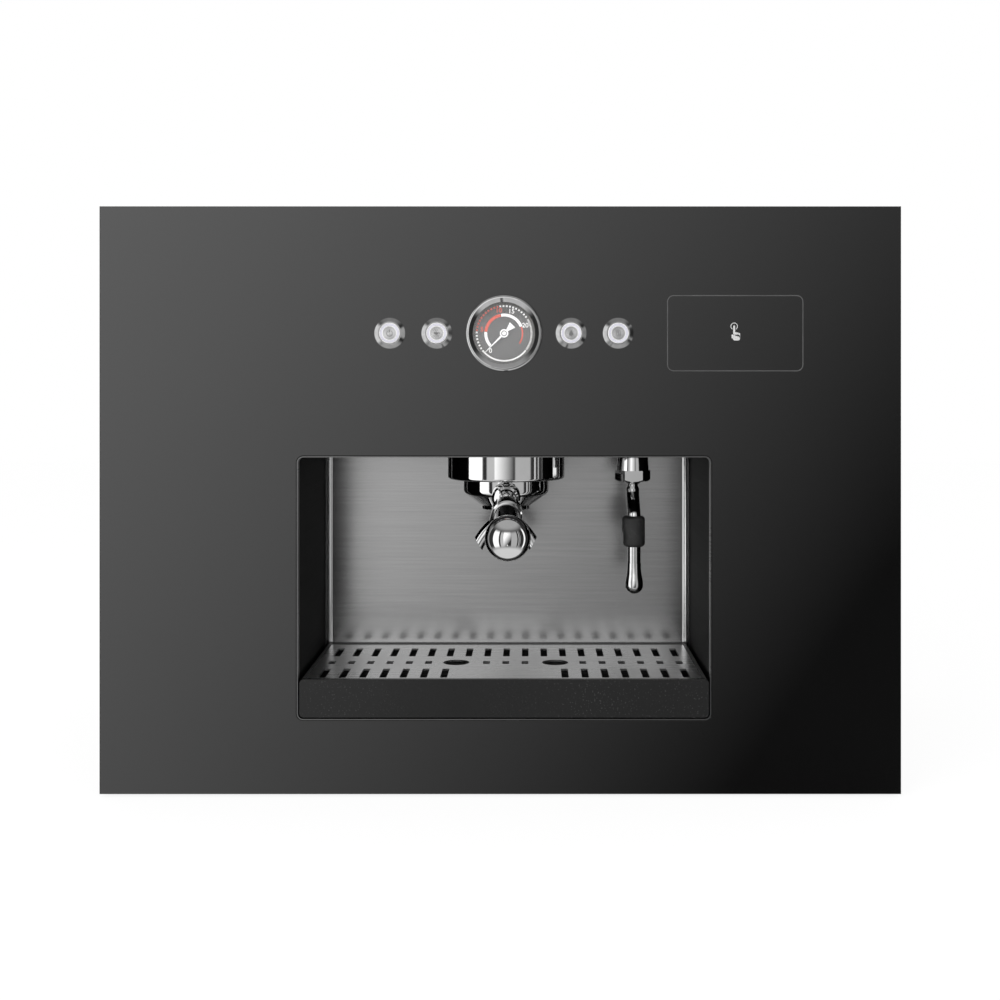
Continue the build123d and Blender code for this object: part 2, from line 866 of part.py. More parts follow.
entry_angle = lug_angle + lug_entry_angle
with BuildPart() as group_collar:
    turned(
        (
            (collar_bore_r, collar_foot),
            (collar_r, collar_foot),
            (collar_r, gasket_top),
            (collar_bore_r, gasket_top),
            (collar_bore_r, groove_top),
            (groove_r, groove_top),
            (groove_r, lug_z - lug_clearance),
            (collar_bore_r, lug_z - lug_clearance),
        ),
        radial(0),
        group_axis,
    )
    for side in (0, 180):
        turned(
            ((porta_r, collar_foot), (groove_r, collar_foot), (groove_r, groove_top), (porta_r, groove_top)),
            radial(side - unlock_angle - entry_angle / 2),
            group_axis,
            angle=entry_angle,
            mode=Mode.SUBTRACT,
        )
save(group_collar, "group_collar")

with BuildPart() as group_gasket:
    with BuildSketch(level(gasket_foot, work_x, group_y)):
        Circle(collar_bore_r - fit_gap)
        Circle(gasket_bore_r, mode=Mode.SUBTRACT)
    extrude(amount=gasket_height)
save(group_gasket, "group_gasket")

with BuildPart() as shower_screen:
    with BuildSketch(level(screen_z, work_x, group_y)):
        Circle(screen_r)
        for ring, count in screen_rings:
            with PolarLocations(ring, count):
                Circle(screen_hole_r, mode=Mode.SUBTRACT)
    extrude(amount=screen_thickness)
save(shower_screen, "shower_screen")

with BuildPart() as screen_screw:
    with BuildSketch(level(screen_z, work_x, group_y)):
        Circle(screw_cap_r)
    extrude(amount=-screw_cap_height)
    chamfer(screen_screw.faces().sort_by(Axis.Z)[0].edges(), screw_cap_height / 2)
save(screen_screw, "screen_screw")

with BuildPart() as dispersion_block:
    turned(
        (
            (0, screen_z + screen_thickness),
            (screen_r, screen_z + screen_thickness),
            (screen_r, gasket_top),
            (collar_r, gasket_top),
            (collar_r, bell_top - bell_wall),
            (block_neck_r, bell_top - bell_wall),
            (block_neck_r, block_top),
            (0, block_top),
        ),
        radial(0),
        group_axis,
    )
save(dispersion_block, "dispersion_block")

# The bracket spans the bell's top and stands on the deck with two legs.
with BuildPart() as group_bracket:
    with BuildSketch(level(bell_top, work_x, group_y)):
        Rectangle(bracket_width, bracket_length)
        Circle(block_neck_r + fit_gap, mode=Mode.SUBTRACT)
    extrude(amount=bracket_sheet)
    with BuildSketch(level(deck_top, work_x, group_y)):
        with GridLocations(bracket_width - bracket_sheet, 0, 2, 1):
            Rectangle(bracket_sheet, bracket_length)
    extrude(amount=bell_top - deck_top)
save(group_bracket, "group_bracket")

# ---------------------------------------------------------------- portafilter
handle_direction = Vector(sin(yaw) * cos(tilt), -cos(yaw) * cos(tilt), -sin(tilt))
handle_side = (cos(yaw), sin(yaw), 0)
handle_root = Vector(work_x, group_y, porta_rim_z - handle_root_drop)
socket_root = handle_root - Vector(0, 0, socket_drop)
handle_plane = Plane(origin=handle_root, x_dir=handle_direction, z_dir=handle_side)
handle_axis = Axis(handle_root, handle_direction)

with BuildPart() as portafilter_body:
    turned(
        (
            (0, porta_boss_z),
            (boss_r, porta_boss_z),
            (boss_r, porta_cone_z),
            (porta_r, porta_shoulder_z),
            (porta_r, porta_rim_z),
            (0, porta_rim_z),
        ),
        radial(0),
        group_axis,
    )
    shoulder = portafilter_body.edges().filter_by(GeomType.CIRCLE).group_by(Axis.Z)[-2]
    fillet(shoulder, shoulder_r)
    turned(
        (
            (socket_start, 0),
            (socket_start, socket_r),
            (socket_end - socket_edge, socket_r),
            (socket_end, socket_r - socket_edge),
            (socket_end, 0),
        ),
        Plane(origin=socket_root, x_dir=handle_direction, z_dir=handle_side),
        Axis(socket_root, handle_direction),
    )
    bead_end = bead_start + bead_length
    turned(
        (
            (porta_cavity_r, 0),
            (porta_cavity_r, neck_root_r),
            (bead_start, neck_root_r),
            (bead_start + bead_slope, bead_r),
            (bead_end - bead_slope, bead_r),
            (bead_end, neck_root_r),
            (neck_end, neck_end_r),
            (neck_end, 0),
        ),
        handle_plane,
        handle_axis,
    )
    for side in (0, 180):
        turned(
            (
                (porta_cavity_r, lug_z),
                (porta_r + lug_reach, lug_z),
                (porta_r + lug_reach, lug_z + lug_thickness),
                (porta_cavity_r, lug_z + lug_thickness),
            ),
            radial(side - lug_angle / 2),
            group_axis,
            angle=lug_angle,
        )
    bore(porta_cavity_r, level(porta_floor_z, work_x, group_y), porta_rim_z - porta_floor_z)
    bore(outlet_r, level(porta_boss_z, work_x, group_y), porta_floor_z - porta_boss_z)
save(portafilter_body, "portafilter_body")

with BuildPart() as filter_basket:
    inner_r = basket_r - basket_sheet
    flange_r = porta_r - slide_gap
    turned(
        (
            (0, basket_floor - basket_sheet),
            (basket_r - basket_corner, basket_floor - basket_sheet),
            (basket_r, basket_floor + basket_corner),
            (basket_r, porta_rim_z),
            (flange_r, porta_rim_z),
            (flange_r, basket_top),
            (inner_r, basket_top),
            (inner_r, basket_floor + basket_corner),
            (inner_r - basket_corner, basket_floor),
            (0, basket_floor),
        ),
        radial(0),
        group_axis,
    )
    with BuildSketch(level(basket_floor, work_x, group_y)):
        for ring, count in basket_rings:
            with PolarLocations(ring, count):
                Circle(basket_hole_r)
    extrude(amount=-basket_sheet, mode=Mode.SUBTRACT)
save(filter_basket, "filter_basket")

ferrule_end = neck_end + ferrule_length
with BuildPart() as handle_ferrule:
    turned(
        (
            (neck_end, 0),
            (neck_end, ferrule_r - ferrule_edge),
            (neck_end + ferrule_edge, ferrule_r),
            (ferrule_end - ferrule_edge, ferrule_r),
            (ferrule_end, ferrule_r - ferrule_edge),
            (ferrule_end, 0),
        ),
        handle_plane,
        handle_axis,
    )
save(handle_ferrule, "handle_ferrule")

ball_middle = handle_reach / cos(tilt)
ball_start = ball_middle - (ball_r**2 - shank_r**2) ** 0.5
with BuildPart() as portafilter_handle:
    with BuildSketch(handle_plane):
        with BuildLine():
            Polyline(
                (ball_middle + ball_r, 0),
                (ferrule_end, 0),
                (ferrule_end, shank_r),
                (ball_start, shank_r),
            )
            ThreePointArc((ball_start, shank_r), (ball_middle, ball_r), (ball_middle + ball_r, 0))
        make_face()
    revolve(axis=handle_axis)
save(portafilter_handle, "portafilter_handle")

arm_places = (arm_root, arm_middle, arm_end)
with BuildPart() as portafilter_spout:
    turned(
        (
            (0, porta_boss_z - hub_height),
            (hub_foot_r, porta_boss_z - hub_height),
            (hub_waist_r, porta_boss_z - hub_waist_drop),
            (hub_top_r, porta_boss_z),
            (0, porta_boss_z),
        ),
        radial(0),
        group_axis,
    )
    for radius, mode in ((arm_r, Mode.ADD), (arm_r - arm_wall, Mode.SUBTRACT)):
        for side in (-1, 1):
            stations = [(work_x + side * out, group_y, porta_boss_z - drop) for out, drop in arm_places]
            with BuildLine() as arm_line:
                arm_arc = ThreePointArc(*stations)
            with BuildSketch(Plane(origin=arm_arc @ 0, z_dir=arm_arc % 0)):
                Circle(radius)
            sweep(path=arm_line.line, mode=mode)
    for side in (-1, 1):
        lip = (work_x + side * arm_lip[0], group_y, porta_boss_z - arm_lip[1])
        cut_normal = (-side * sin(radians(arm_cut_angle)), 0, cos(radians(arm_cut_angle)))
        split(bisect_by=Plane(origin=lip, z_dir=cut_normal), keep=Keep.TOP)
    bore(outlet_r, level(porta_boss_z - arm_root[1], work_x, group_y), arm_root[1])
save(portafilter_spout, "portafilter_spout")

# ---------------------------------------------------------------- steam wand
wand_axis = upright_axis(wand_x, group_depth)
wand_plane = facing(group_depth, wand_x)

with BuildPart() as wand_fitting:
    turned(
        (
            (pocket_r, nut_top),
            (fitting_foot_r, nut_top),
            (fitting_top_r, niche_top + fitting_waist_rise),
            (fitting_top_r, deck_top),
            (fitting_flange_r, deck_top),
            (fitting_flange_r, deck_top + fitting_flange),
            (fitting_top_r, deck_top + fitting_flange),
            (fitting_top_r, fitting_top),
            (wand_bore_r, fitting_top),
            (wand_bore_r, pocket_top),
            (pocket_r, pocket_top),
        ),
        wand_plane,
        wand_axis,
    )
save(wand_fitting, "wand_fitting")

mouth_z = wand_ball_z - (wand_ball_clear**2 - mouth_r**2) ** 0.5
with BuildPart() as wand_nut:
    with BuildSketch(level(nut_foot, wand_x, group_y)):
        RegularPolygon(nut_flats / 2, hexagon, major_radius=False)
    extrude(amount=nut_top - nut_foot)
    with BuildSketch(wand_plane):
        with BuildLine():
            Polyline(
                (wand_ball_clear, wand_ball_z),
                (pocket_r, wand_ball_z),
                (pocket_r, nut_top),
                (0, nut_top),
                (0, nut_foot),
                (mouth_r + mouth_flare, nut_foot),
                (mouth_r, mouth_z),
            )
            RadiusArc((wand_ball_clear, wand_ball_z), (mouth_r, mouth_z), wand_ball_clear)
        make_face()
    revolve(axis=wand_axis, mode=Mode.SUBTRACT)
    # The wrench corners are turned down at the foot.
    turned(
        (
            (nut_flats / 2, nut_foot),
            (nut_flats / 2 + nut_chamfer_width, nut_foot),
            (nut_flats / 2 + nut_chamfer_width, nut_foot + nut_chamfer_height),
        ),
        wand_plane,
        wand_axis,
        mode=Mode.SUBTRACT,
    )
save(wand_nut, "wand_nut")

seat_r = pocket_r - ball_gap
seat_top = pocket_top - ball_gap
seat_foot = wand_ball_z + seat_lift
seat_foot_r = (wand_ball_clear**2 - seat_lift**2) ** 0.5
seat_bore_z = wand_ball_z + (wand_ball_clear**2 - seat_bore_r**2) ** 0.5
with BuildPart() as wand_seat:
    with BuildSketch(wand_plane):
        with BuildLine():
            Polyline(
                (seat_foot_r, seat_foot),
                (seat_r, seat_foot),
                (seat_r, seat_top),
                (seat_bore_r, seat_top),
                (seat_bore_r, seat_bore_z),
            )
            RadiusArc((seat_foot_r, seat_foot), (seat_bore_r, seat_bore_z), -wand_ball_clear)
        make_face()
    revolve(axis=wand_axis)
save(wand_seat, "wand_seat")

# The pipe bends forward below its ball and then hangs straight down.
with BuildLine() as pipe_line:
    FilletPolyline(
        (wand_x, group_y, neck_z),
        (wand_x, group_y, neck_z - upper_run),
        (wand_x, pipe_y, wand_ball_z - bend_drop),
        (wand_x, pipe_y, pipe_foot),
        radius=[upper_bend, lower_bend],
    )

with BuildPart() as wand_pipe:
    with Locations((wand_x, group_y, wand_ball_z)):
        Sphere(wand_ball_r)
    turned(
        (
            (0, wand_ball_z),
            (wand_neck_r, wand_ball_z),
            (wand_neck_r, neck_z + neck_cone),
            (wand_pipe_r, neck_z),
            (0, neck_z),
        ),
        wand_plane,
        wand_axis,
    )
    for radius, mode in ((wand_pipe_r, Mode.ADD), (wand_bore_r, Mode.SUBTRACT)):
        with BuildSketch(level(neck_z, wand_x, group_y)):
            Circle(radius)
        sweep(path=pipe_line.line, mode=mode)
    bore(wand_bore_r, level(neck_z, wand_x, group_y), neck_drop + wand_ball_r)
save(wand_pipe, "wand_pipe")

# The grip's upper half is drawn out sideways into a low tab.
grip_top = wand_ball_z - grip_drop
with BuildPart() as wand_grip:
    with BuildSketch(level(grip_top, wand_x, pipe_y)):
        Circle(grip_r)
    extrude(amount=-grip_length)
    with BuildSketch(level(grip_top, wand_x - grip_tab / 2, pipe_y)):
        SlotCenterToCenter(grip_tab, 2 * grip_r)
    extrude(amount=-grip_tab_length)
    fillet(wand_grip.edges().group_by(Axis.Z)[-1], grip_edge_r)
    fillet(wand_grip.edges().group_by(Axis.Z)[0], grip_edge_r)
    with BuildSketch(level(neck_z, wand_x, group_y)):
        Circle(wand_pipe_r)
    sweep(path=pipe_line.line, mode=Mode.SUBTRACT)
save(wand_grip, "wand_grip")

tip_foot = pipe_foot - tip_length
tip_mid = tip_foot + tip_r
tip_neck_r = wand_pipe_r + tip_neck
with BuildPart() as wand_tip:
    with BuildSketch(facing(group_depth - wand_forward, wand_x)):
        with BuildLine():
            Polyline(
                (0, tip_foot),
                (0, pipe_foot),
                (tip_neck_r, pipe_foot),
                (tip_neck_r, pipe_foot - tip_neck_length),
            )
            Spline(
                (tip_neck_r, pipe_foot - tip_neck_length),
                (tip_waist_r, pipe_foot - tip_waist_drop),
                (tip_r, tip_mid),
                tangents=((0, -1), (0, -1)),
            )
            CenterArc((0, tip_mid), tip_r, 0, -90)
        make_face()
    revolve(axis=upright_axis(wand_x, group_depth - wand_forward))
    bore(wand_bore_r, level(tip_mid, wand_x, pipe_y), pipe_foot - tip_mid)
    fall = radians(tip_hole_fall)
    for turn in tip_hole_turns:
        jet = (cos(radians(turn)) * cos(fall), sin(radians(turn)) * cos(fall), -sin(fall))
        bore(tip_hole_r, Plane(origin=(wand_x, pipe_y, tip_mid), z_dir=jet), 2 * tip_r)
save(wand_tip, "wand_tip")

# ---------------------------------------------------------------- housing
side_middle_y = seat_y + floor_length / 2
edge_x = inner_half - screw_edge
screw_heights = (foot_height + screw_inset, housing_top - screw_inset)
side_screws = [(y, z) for y in (seat_y + screw_inset, back_y - screw_inset) for z in screw_heights]
rear_screws = [(x, z) for x in (-edge_x, edge_x) for z in screw_heights]
screw_planes = [
    Plane(origin=(side * housing_width / 2, y, z), z_dir=(side, 0, 0))
    for side in (-1, 1)
    for y, z in side_screws
]
screw_planes += [Plane(origin=(x, back_y, z), z_dir=(0, 1, 0)) for x, z in rear_screws]

# The base plate and the top cover are shallow pans. Their flanges take the screws of the side and
# rear panels.
with BuildPart() as base_plate:
    with BuildSketch(level(foot_height, 0, seat_y)):
        Rectangle(2 * inner_half, floor_length, align=(Align.CENTER, Align.MIN))
    extrude(amount=flange_height)
    with BuildSketch(level(foot_height + sheet, 0, seat_y)):
        Rectangle(2 * (inner_half - sheet), floor_length - sheet, align=(Align.CENTER, Align.MIN))
    extrude(amount=flange_height - sheet, mode=Mode.SUBTRACT)
    for side in (-1, 1):
        for depth in shelf_hole_depths:
            bore(shelf_hole_r, level(foot_height, side * shelf_hole_x, front_y + depth), sheet)
    for place in screw_planes:
        bore(screw_shank_r, place, -screw_length)
save(base_plate, "base_plate")

with BuildPart() as glide_feet:
    with BuildSketch(level(0)):
        for depth in shelf_hole_depths:
            with Locations((-foot_pad_x, front_y + depth), (foot_pad_x, front_y + depth)):
                Circle(foot_pad_r)
    extrude(amount=foot_height)
save(glide_feet, "glide_feet")

for side, name in ((-1, "left_side_panel"), (1, "right_side_panel")):
    with BuildPart() as side_panel:
        with BuildSketch(Plane.YZ.offset(side * housing_width / 2)):
            with Locations((side_middle_y, foot_height + side_height / 2)):
                Rectangle(floor_length, side_height)
            for z in (vent_low_z, vent_high_z):
                with Locations((side_middle_y + side_vent_shift, z)):
                    with GridLocations(0, vent_pitch, 1, vent_rows):
                        SlotOverall(vent_length, vent_height, mode=Mode.SUBTRACT)
            with Locations(*side_screws):
                Circle(screw_hole_r, mode=Mode.SUBTRACT)
        extrude(amount=-side * sheet)
    save(side_panel, name)

with BuildPart() as rear_panel:
    with BuildSketch(facing(wall_depth)):
        with Locations((0, foot_height + side_height / 2)):
            Rectangle(housing_width, side_height)
        with Locations((fan_x, fan_z)):
            Circle(fan_bore_r, mode=Mode.SUBTRACT)
        with Locations((gland_x, gland_z)):
            Circle(gland_r + fit_gap, mode=Mode.SUBTRACT)
        with Locations((inlet_x, inlet_z)):
            Circle(inlet_r + fit_gap, mode=Mode.SUBTRACT)
        with Locations((rear_vent_x, control_z)):
            with GridLocations(vent_spacing, vent_pitch, rear_vent_columns, vent_rows):
                SlotOverall(vent_length, vent_height, mode=Mode.SUBTRACT)
        with Locations(*rear_screws):
            Circle(screw_hole_r, mode=Mode.SUBTRACT)
    extrude(amount=-sheet)
save(rear_panel, "rear_panel")

cover_plane = level(housing_top - sheet, 0, seat_y)
with BuildPart() as top_cover:
    with BuildSketch(cover_plane):
        Rectangle(housing_width, floor_length + sheet, align=(Align.CENTER, Align.MIN))
    extrude(amount=sheet)
    with BuildSketch(cover_plane):
        Rectangle(2 * inner_half, floor_length, align=(Align.CENTER, Align.MIN))
    extrude(amount=sheet - flange_height)
    with BuildSketch(cover_plane):
        Rectangle(2 * (inner_half - sheet), floor_length - sheet, align=(Align.CENTER, Align.MIN))
    extrude(amount=sheet - flange_height, mode=Mode.SUBTRACT)
    with BuildSketch(level(housing_top - sheet, work_x, side_middle_y + top_vent_shift)):
        with GridLocations(vent_spacing, vent_pitch, top_vent_columns, vent_rows):
            SlotOverall(vent_length, vent_height)
    extrude(amount=sheet, mode=Mode.SUBTRACT)
    for place in screw_planes:
        bore(screw_shank_r, place, -screw_length)
save(top_cover, "top_cover")

with BuildPart() as cover_screws:
    for place in screw_planes:
        with BuildSketch(place):
            Circle(screw_head_r)
        extrude(amount=screw_head_height, taper=screw_taper)
        with BuildSketch(place):
            Circle(screw_shank_r)
        extrude(amount=-screw_length)
save(cover_screws, "cover_screws")

# ---------------------------------------------------------------- equipment deck and boilers
with BuildPart() as equipment_deck:
    with BuildSketch(level(deck_z, 0, seat_y + deck_front_gap)):
        Rectangle(2 * inner_half, floor_length - deck_front_gap, align=(Align.CENTER, Align.MIN))
    extrude(amount=deck_sheet)
    bore(bell_r + easy_gap, level(deck_z, work_x, group_y), deck_sheet)
    bore(fitting_foot_r + easy_gap, level(deck_z, wand_x, group_y), deck_sheet)
    bore(hose_r + easy_gap, level(deck_z, pump_x, front_y + riser_depth), deck_sheet)
save(equipment_deck, "equipment_deck")

brew_top = brew_boiler_foot + brew_boiler_height
brew_y = front_y + brew_boiler_depth
flange_z = brew_boiler_foot + boiler_flange_rise
dome_inset, dome_height = brew_dome
with BuildPart() as brew_boiler:
    turned(
        (
            (0, brew_boiler_foot),
            (brew_boiler_r, brew_boiler_foot),
            (brew_boiler_r, flange_z),
            (brew_boiler_r + boiler_flange, flange_z),
            (brew_boiler_r + boiler_flange, flange_z + boiler_flange),
            (brew_boiler_r, flange_z + boiler_flange),
            (brew_boiler_r, brew_top - dome_height),
            (brew_boiler_r - dome_inset, brew_top),
            (0, brew_top),
        ),
        facing(brew_boiler_depth, work_x),
        upright_axis(work_x, brew_boiler_depth),
    )
    with BuildSketch(level(deck_top, work_x, brew_y)):
        with PolarLocations(brew_leg_circle, brew_legs):
            Circle(brew_leg_r)
    extrude(amount=brew_leg_length)
    water_height = brew_boiler_height - dome_height - 2 * boiler_wall
    bore(brew_boiler_r - boiler_wall, level(brew_boiler_foot + boiler_wall, work_x, brew_y), water_height)
    bore(tube_r, facing(brew_boiler_depth, work_x, valve_z), brew_boiler_r)
save(brew_boiler, "brew_boiler")

steam_end = steam_boiler_front + steam_boiler_length
inner_front = steam_boiler_front + boiler_wall
dome_inset, dome_height = steam_dome
with BuildPart() as steam_boiler:
    turned(
        (
            (0, steam_boiler_front),
            (steam_boiler_r, steam_boiler_front),
            (steam_boiler_r, steam_end - dome_height),
            (steam_boiler_r - dome_inset, steam_end),
            (0, steam_end),
        ),
        inward(steam_boiler_x, steam_boiler_z),
        inward_axis(steam_boiler_x, steam_boiler_z),
    )
    # Two welded saddles carry the boiler on the deck.
    with BuildSketch(level(deck_top, steam_boiler_x, front_y)):
        with Locations(*[(0, depth) for depth in saddle_depths]):
            Rectangle(saddle_width, saddle_sheet)
    extrude(amount=saddle_rise)
    steam_room = steam_boiler_length - dome_height - boiler_wall
    steam_floor = facing(inner_front + steam_room, steam_boiler_x, steam_boiler_z)
    bore(steam_boiler_r - boiler_wall, steam_floor, steam_room)
    bore(tube_r, facing(inner_front, steam_boiler_x, steam_pipe_z), boiler_wall)
save(steam_boiler, "steam_boiler")

# Each valve is a brass block with a coil on top: one on the group's neck, one on the wand's fitting.
with BuildPart() as solenoid_valves:
    for x, foot in ((work_x, block_top), (wand_x, fitting_top)):
        with BuildSketch(level(foot, x, group_y)):
            Rectangle(valve_width, valve_width)
        extrude(amount=valve_height)
        with BuildSketch(level(foot + valve_height, x, group_y)):
            Circle(coil_r)
        extrude(amount=coil_height)
save(solenoid_valves, "solenoid_valves")

with BuildPart() as copper_pipes:
    pipe_start = group_depth + valve_width / 2
    with BuildSketch(facing(pipe_start, work_x, valve_z)):
        Circle(tube_r)
    extrude(amount=pipe_start - brew_boiler_depth + brew_boiler_r - boiler_wall / 2)
    steam_start = steam_boiler_front + boiler_wall / 2
    with BuildLine() as steam_line:
        FilletPolyline(
            (steam_boiler_x, front_y + steam_start, steam_pipe_z),
            (steam_boiler_x, group_y, steam_pipe_z),
            (wand_x + valve_width / 2, group_y, steam_pipe_z),
            radius=[steam_pipe_bend],
        )
    with BuildSketch(facing(steam_start, steam_boiler_x, steam_pipe_z)):
        Circle(tube_r)
    sweep(path=steam_line.line)
save(copper_pipes, "copper_pipes")

# ---------------------------------------------------------------- water supply
pump_end = pump_front + sum(length for _, length in pump_stages)
pump_bed_z = foot_height + sheet
with BuildPart() as water_pump:
    turned(staged(pump_front, pump_stages), inward(pump_x, pump_z), inward_axis(pump_x, pump_z))
    with BuildSketch(facing(pump_front + pump_yoke_start, pump_x, pump_z)):
        Rectangle(pump_yoke_width, pump_yoke_width)
    extrude(amount=-pump_yoke_length)
    yoke_middle = pump_front + pump_yoke_start + pump_yoke_length / 2
    with BuildSketch(level(pump_bed_z, pump_x, front_y + yoke_middle)):
        Rectangle(*pump_pad)
    extrude(amount=pump_z - pump_yoke_width / 2 - pump_bed_z)
save(water_pump, "water_pump")

body_width, body_height, body_length = inlet_body
with BuildPart() as water_inlet:
    with BuildSketch(facing(wall_depth - body_length, inlet_x, inlet_z)):
        Rectangle(body_width, body_height)
    extrude(amount=-body_length)
    with BuildSketch(facing(wall_depth, inlet_x, inlet_z)):
        Circle(inlet_r)
    extrude(amount=-sheet - inlet_reach)
    with BuildSketch(facing(housing_depth, inlet_x, inlet_z)):
        RegularPolygon(inlet_r + inlet_nut_wall, hexagon, major_radius=False)
    extrude(amount=-inlet_nut_length)
    with BuildSketch(level(inlet_z + body_height / 2, inlet_x, front_y + wall_depth - body_length / 2)):
        Circle(inlet_coil_r)
    extrude(amount=inlet_coil_height)
    bore(inlet_bore_r, facing(housing_depth + inlet_reach, inlet_x, inlet_z), inlet_reach)
save(water_inlet, "water_inlet")

with BuildPart() as water_hoses:
    supply_start = wall_depth - body_length
    with BuildLine() as supply_line:
        FilletPolyline(
            (inlet_x, front_y + supply_start, inlet_z),
            (inlet_x, front_y + hose_run_depth, inlet_z),
            (pump_x, front_y + hose_run_depth, pump_z),
            (pump_x, front_y + pump_end, pump_z),
            radius=[hose_bend, hose_bend],
        )
    with BuildSketch(facing(supply_start, inlet_x, inlet_z)):
        Circle(hose_r)
    sweep(path=supply_line.line)
    with BuildLine() as delivery_line:
        FilletPolyline(
            (pump_x, front_y + pump_front, pump_z),
            (pump_x, front_y + riser_depth, pump_z),
            (pump_x, front_y + riser_depth, valve_z),
            (pump_x, brew_y, valve_z),
            (work_x - brew_boiler_r, brew_y, valve_z),
            radius=[riser_bend, hose_bend, delivery_bend],
        )
    with BuildSketch(facing(pump_front, pump_x, pump_z)):
        Circle(hose_r)
    sweep(path=delivery_line.line)
save(water_hoses, "water_hoses")

# ---------------------------------------------------------------- electrics
board_x = -inner_half + board_gap + board_sheet
board_face = Plane(origin=(board_x, front_y + board_depth, board_z), x_dir=(0, 1, 0), z_dir=(1, 0, 0))
with BuildPart() as control_board:
    with BuildSketch(board_face):
        Rectangle(board_length, board_height)
    extrude(amount=-board_sheet)
    for depth, height, length, width, thickness in board_parts:
        with BuildSketch(board_face):
            with Locations((depth, height)):
                Rectangle(length, width)
        extrude(amount=thickness)
    with BuildSketch(board_face):
        with Locations(capacitor_place):
            with GridLocations(capacitor_pitch, capacitor_pitch, capacitor_columns, capacitor_rows):
                Circle(capacitor_r)
    extrude(amount=capacitor_height)
    with BuildSketch(board_face.offset(-board_sheet)):
        with GridLocations(board_length - 2 * board_post_inset, board_height - 2 * board_post_inset, 2, 2):
            Circle(board_post_r)
    extrude(amount=-board_gap)
save(control_board, "control_board")

gland_start = wall_depth - gland_inner_length
gland_end = housing_depth + gland_reach
gland_stages = (
    (gland_r, gland_inner_length + sheet),
    (gland_r + gland_flange, gland_flange_length),
    (gland_r, gland_reach - gland_flange_length),
)
with BuildPart() as cable_gland:
    turned(staged(gland_start, gland_stages), inward(gland_x, gland_z), inward_axis(gland_x, gland_z))
    bore(gland_bore_r, facing(gland_end, gland_x, gland_z), gland_end - gland_start)
save(cable_gland, "cable_gland")

# ---------------------------------------------------------------- cooling fan
fan_front = wall_depth - fan_thickness
rotor_front = fan_front + motor_plate + rotor_gap
with BuildPart() as fan_frame:
    with BuildSketch(facing(fan_front, fan_x, fan_z)):
        RectangleRounded(fan_size, fan_size, fan_corner)
        Circle(fan_bore_r, mode=Mode.SUBTRACT)
        with GridLocations(fan_size - 2 * fan_screw_inset, fan_size - 2 * fan_screw_inset, 2, 2):
            Circle(fan_screw_r, mode=Mode.SUBTRACT)
    extrude(amount=-fan_thickness)
    with BuildSketch(facing(fan_front, fan_x, fan_z)):
        Circle(motor_r)
        with PolarLocations((fan_bore_r + motor_r) / 2, fan_arms, start_angle=arm_turn):
            Rectangle(fan_bore_r - motor_r + strut_overlap, strut_width)
    extrude(amount=-motor_plate)
    with BuildSketch(facing(fan_front + motor_plate, fan_x, fan_z)):
        Circle(fan_post_r)
    extrude(amount=-fan_post_length)
save(fan_frame, "fan_frame")

rotor_middle = rotor_front + rotor_length / 2
pitch = radians(blade_pitch)
with BuildPart() as fan_rotor:
    with BuildSketch(facing(rotor_front, fan_x, fan_z)):
        Circle(fan_hub_r)
    extrude(amount=-rotor_length)
    for index in range(fan_blades):
        turn = radians(index * 360 / fan_blades)
        out = Vector(cos(turn), 0, sin(turn))
        blade_plane = Plane(
            origin=Vector(fan_x, front_y + rotor_middle, fan_z) + out * (fan_hub_r - blade_root),
            x_dir=Vector(-sin(turn) * cos(pitch), sin(pitch), cos(turn) * cos(pitch)),
            z_dir=out,
        )
        with BuildSketch(blade_plane):
            Rectangle(blade_chord, blade_thickness)
        extrude(amount=fan_bore_r - fan_tip_gap - fan_hub_r + blade_root)
    bore(fan_post_r + running_gap, facing(rotor_front + fan_post_length, fan_x, fan_z), fan_post_length)
save(fan_rotor, "fan_rotor")

with BuildPart() as fan_guard:
    for ring in guard_rings:
        with BuildSketch(level(fan_z, fan_x + ring, back_y + guard_proud)):
            Circle(guard_wire_r)
        revolve(axis=inward_axis(fan_x, fan_z))
    with BuildSketch(facing(housing_depth + guard_proud - guard_wire_r, fan_x, fan_z)):
        with PolarLocations(0, 2, start_angle=arm_turn, angular_range=180):
            Rectangle(2 * (guard_foot_circle + guard_foot_r), 2 * guard_wire_r)
    extrude(amount=-2 * guard_wire_r)
    with BuildSketch(facing(housing_depth, fan_x, fan_z)):
        with PolarLocations(guard_foot_circle, fan_arms, start_angle=arm_turn):
            Circle(guard_foot_r)
    extrude(amount=-guard_proud)
save(fan_guard, "fan_guard")
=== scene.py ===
"""Looks of a built-in coffee machine, in the frame of its CAD model.

Finishes for every CAD node, the dial's and the buttons' marks and lights, lamps and camera.
"""

import json
import logging
import math
from abc import ABC, abstractmethod
from collections.abc import Iterable, Mapping, Sequence
from dataclasses import dataclass, field
from enum import Enum

import bmesh
import bpy
from mathutils import Matrix, Vector

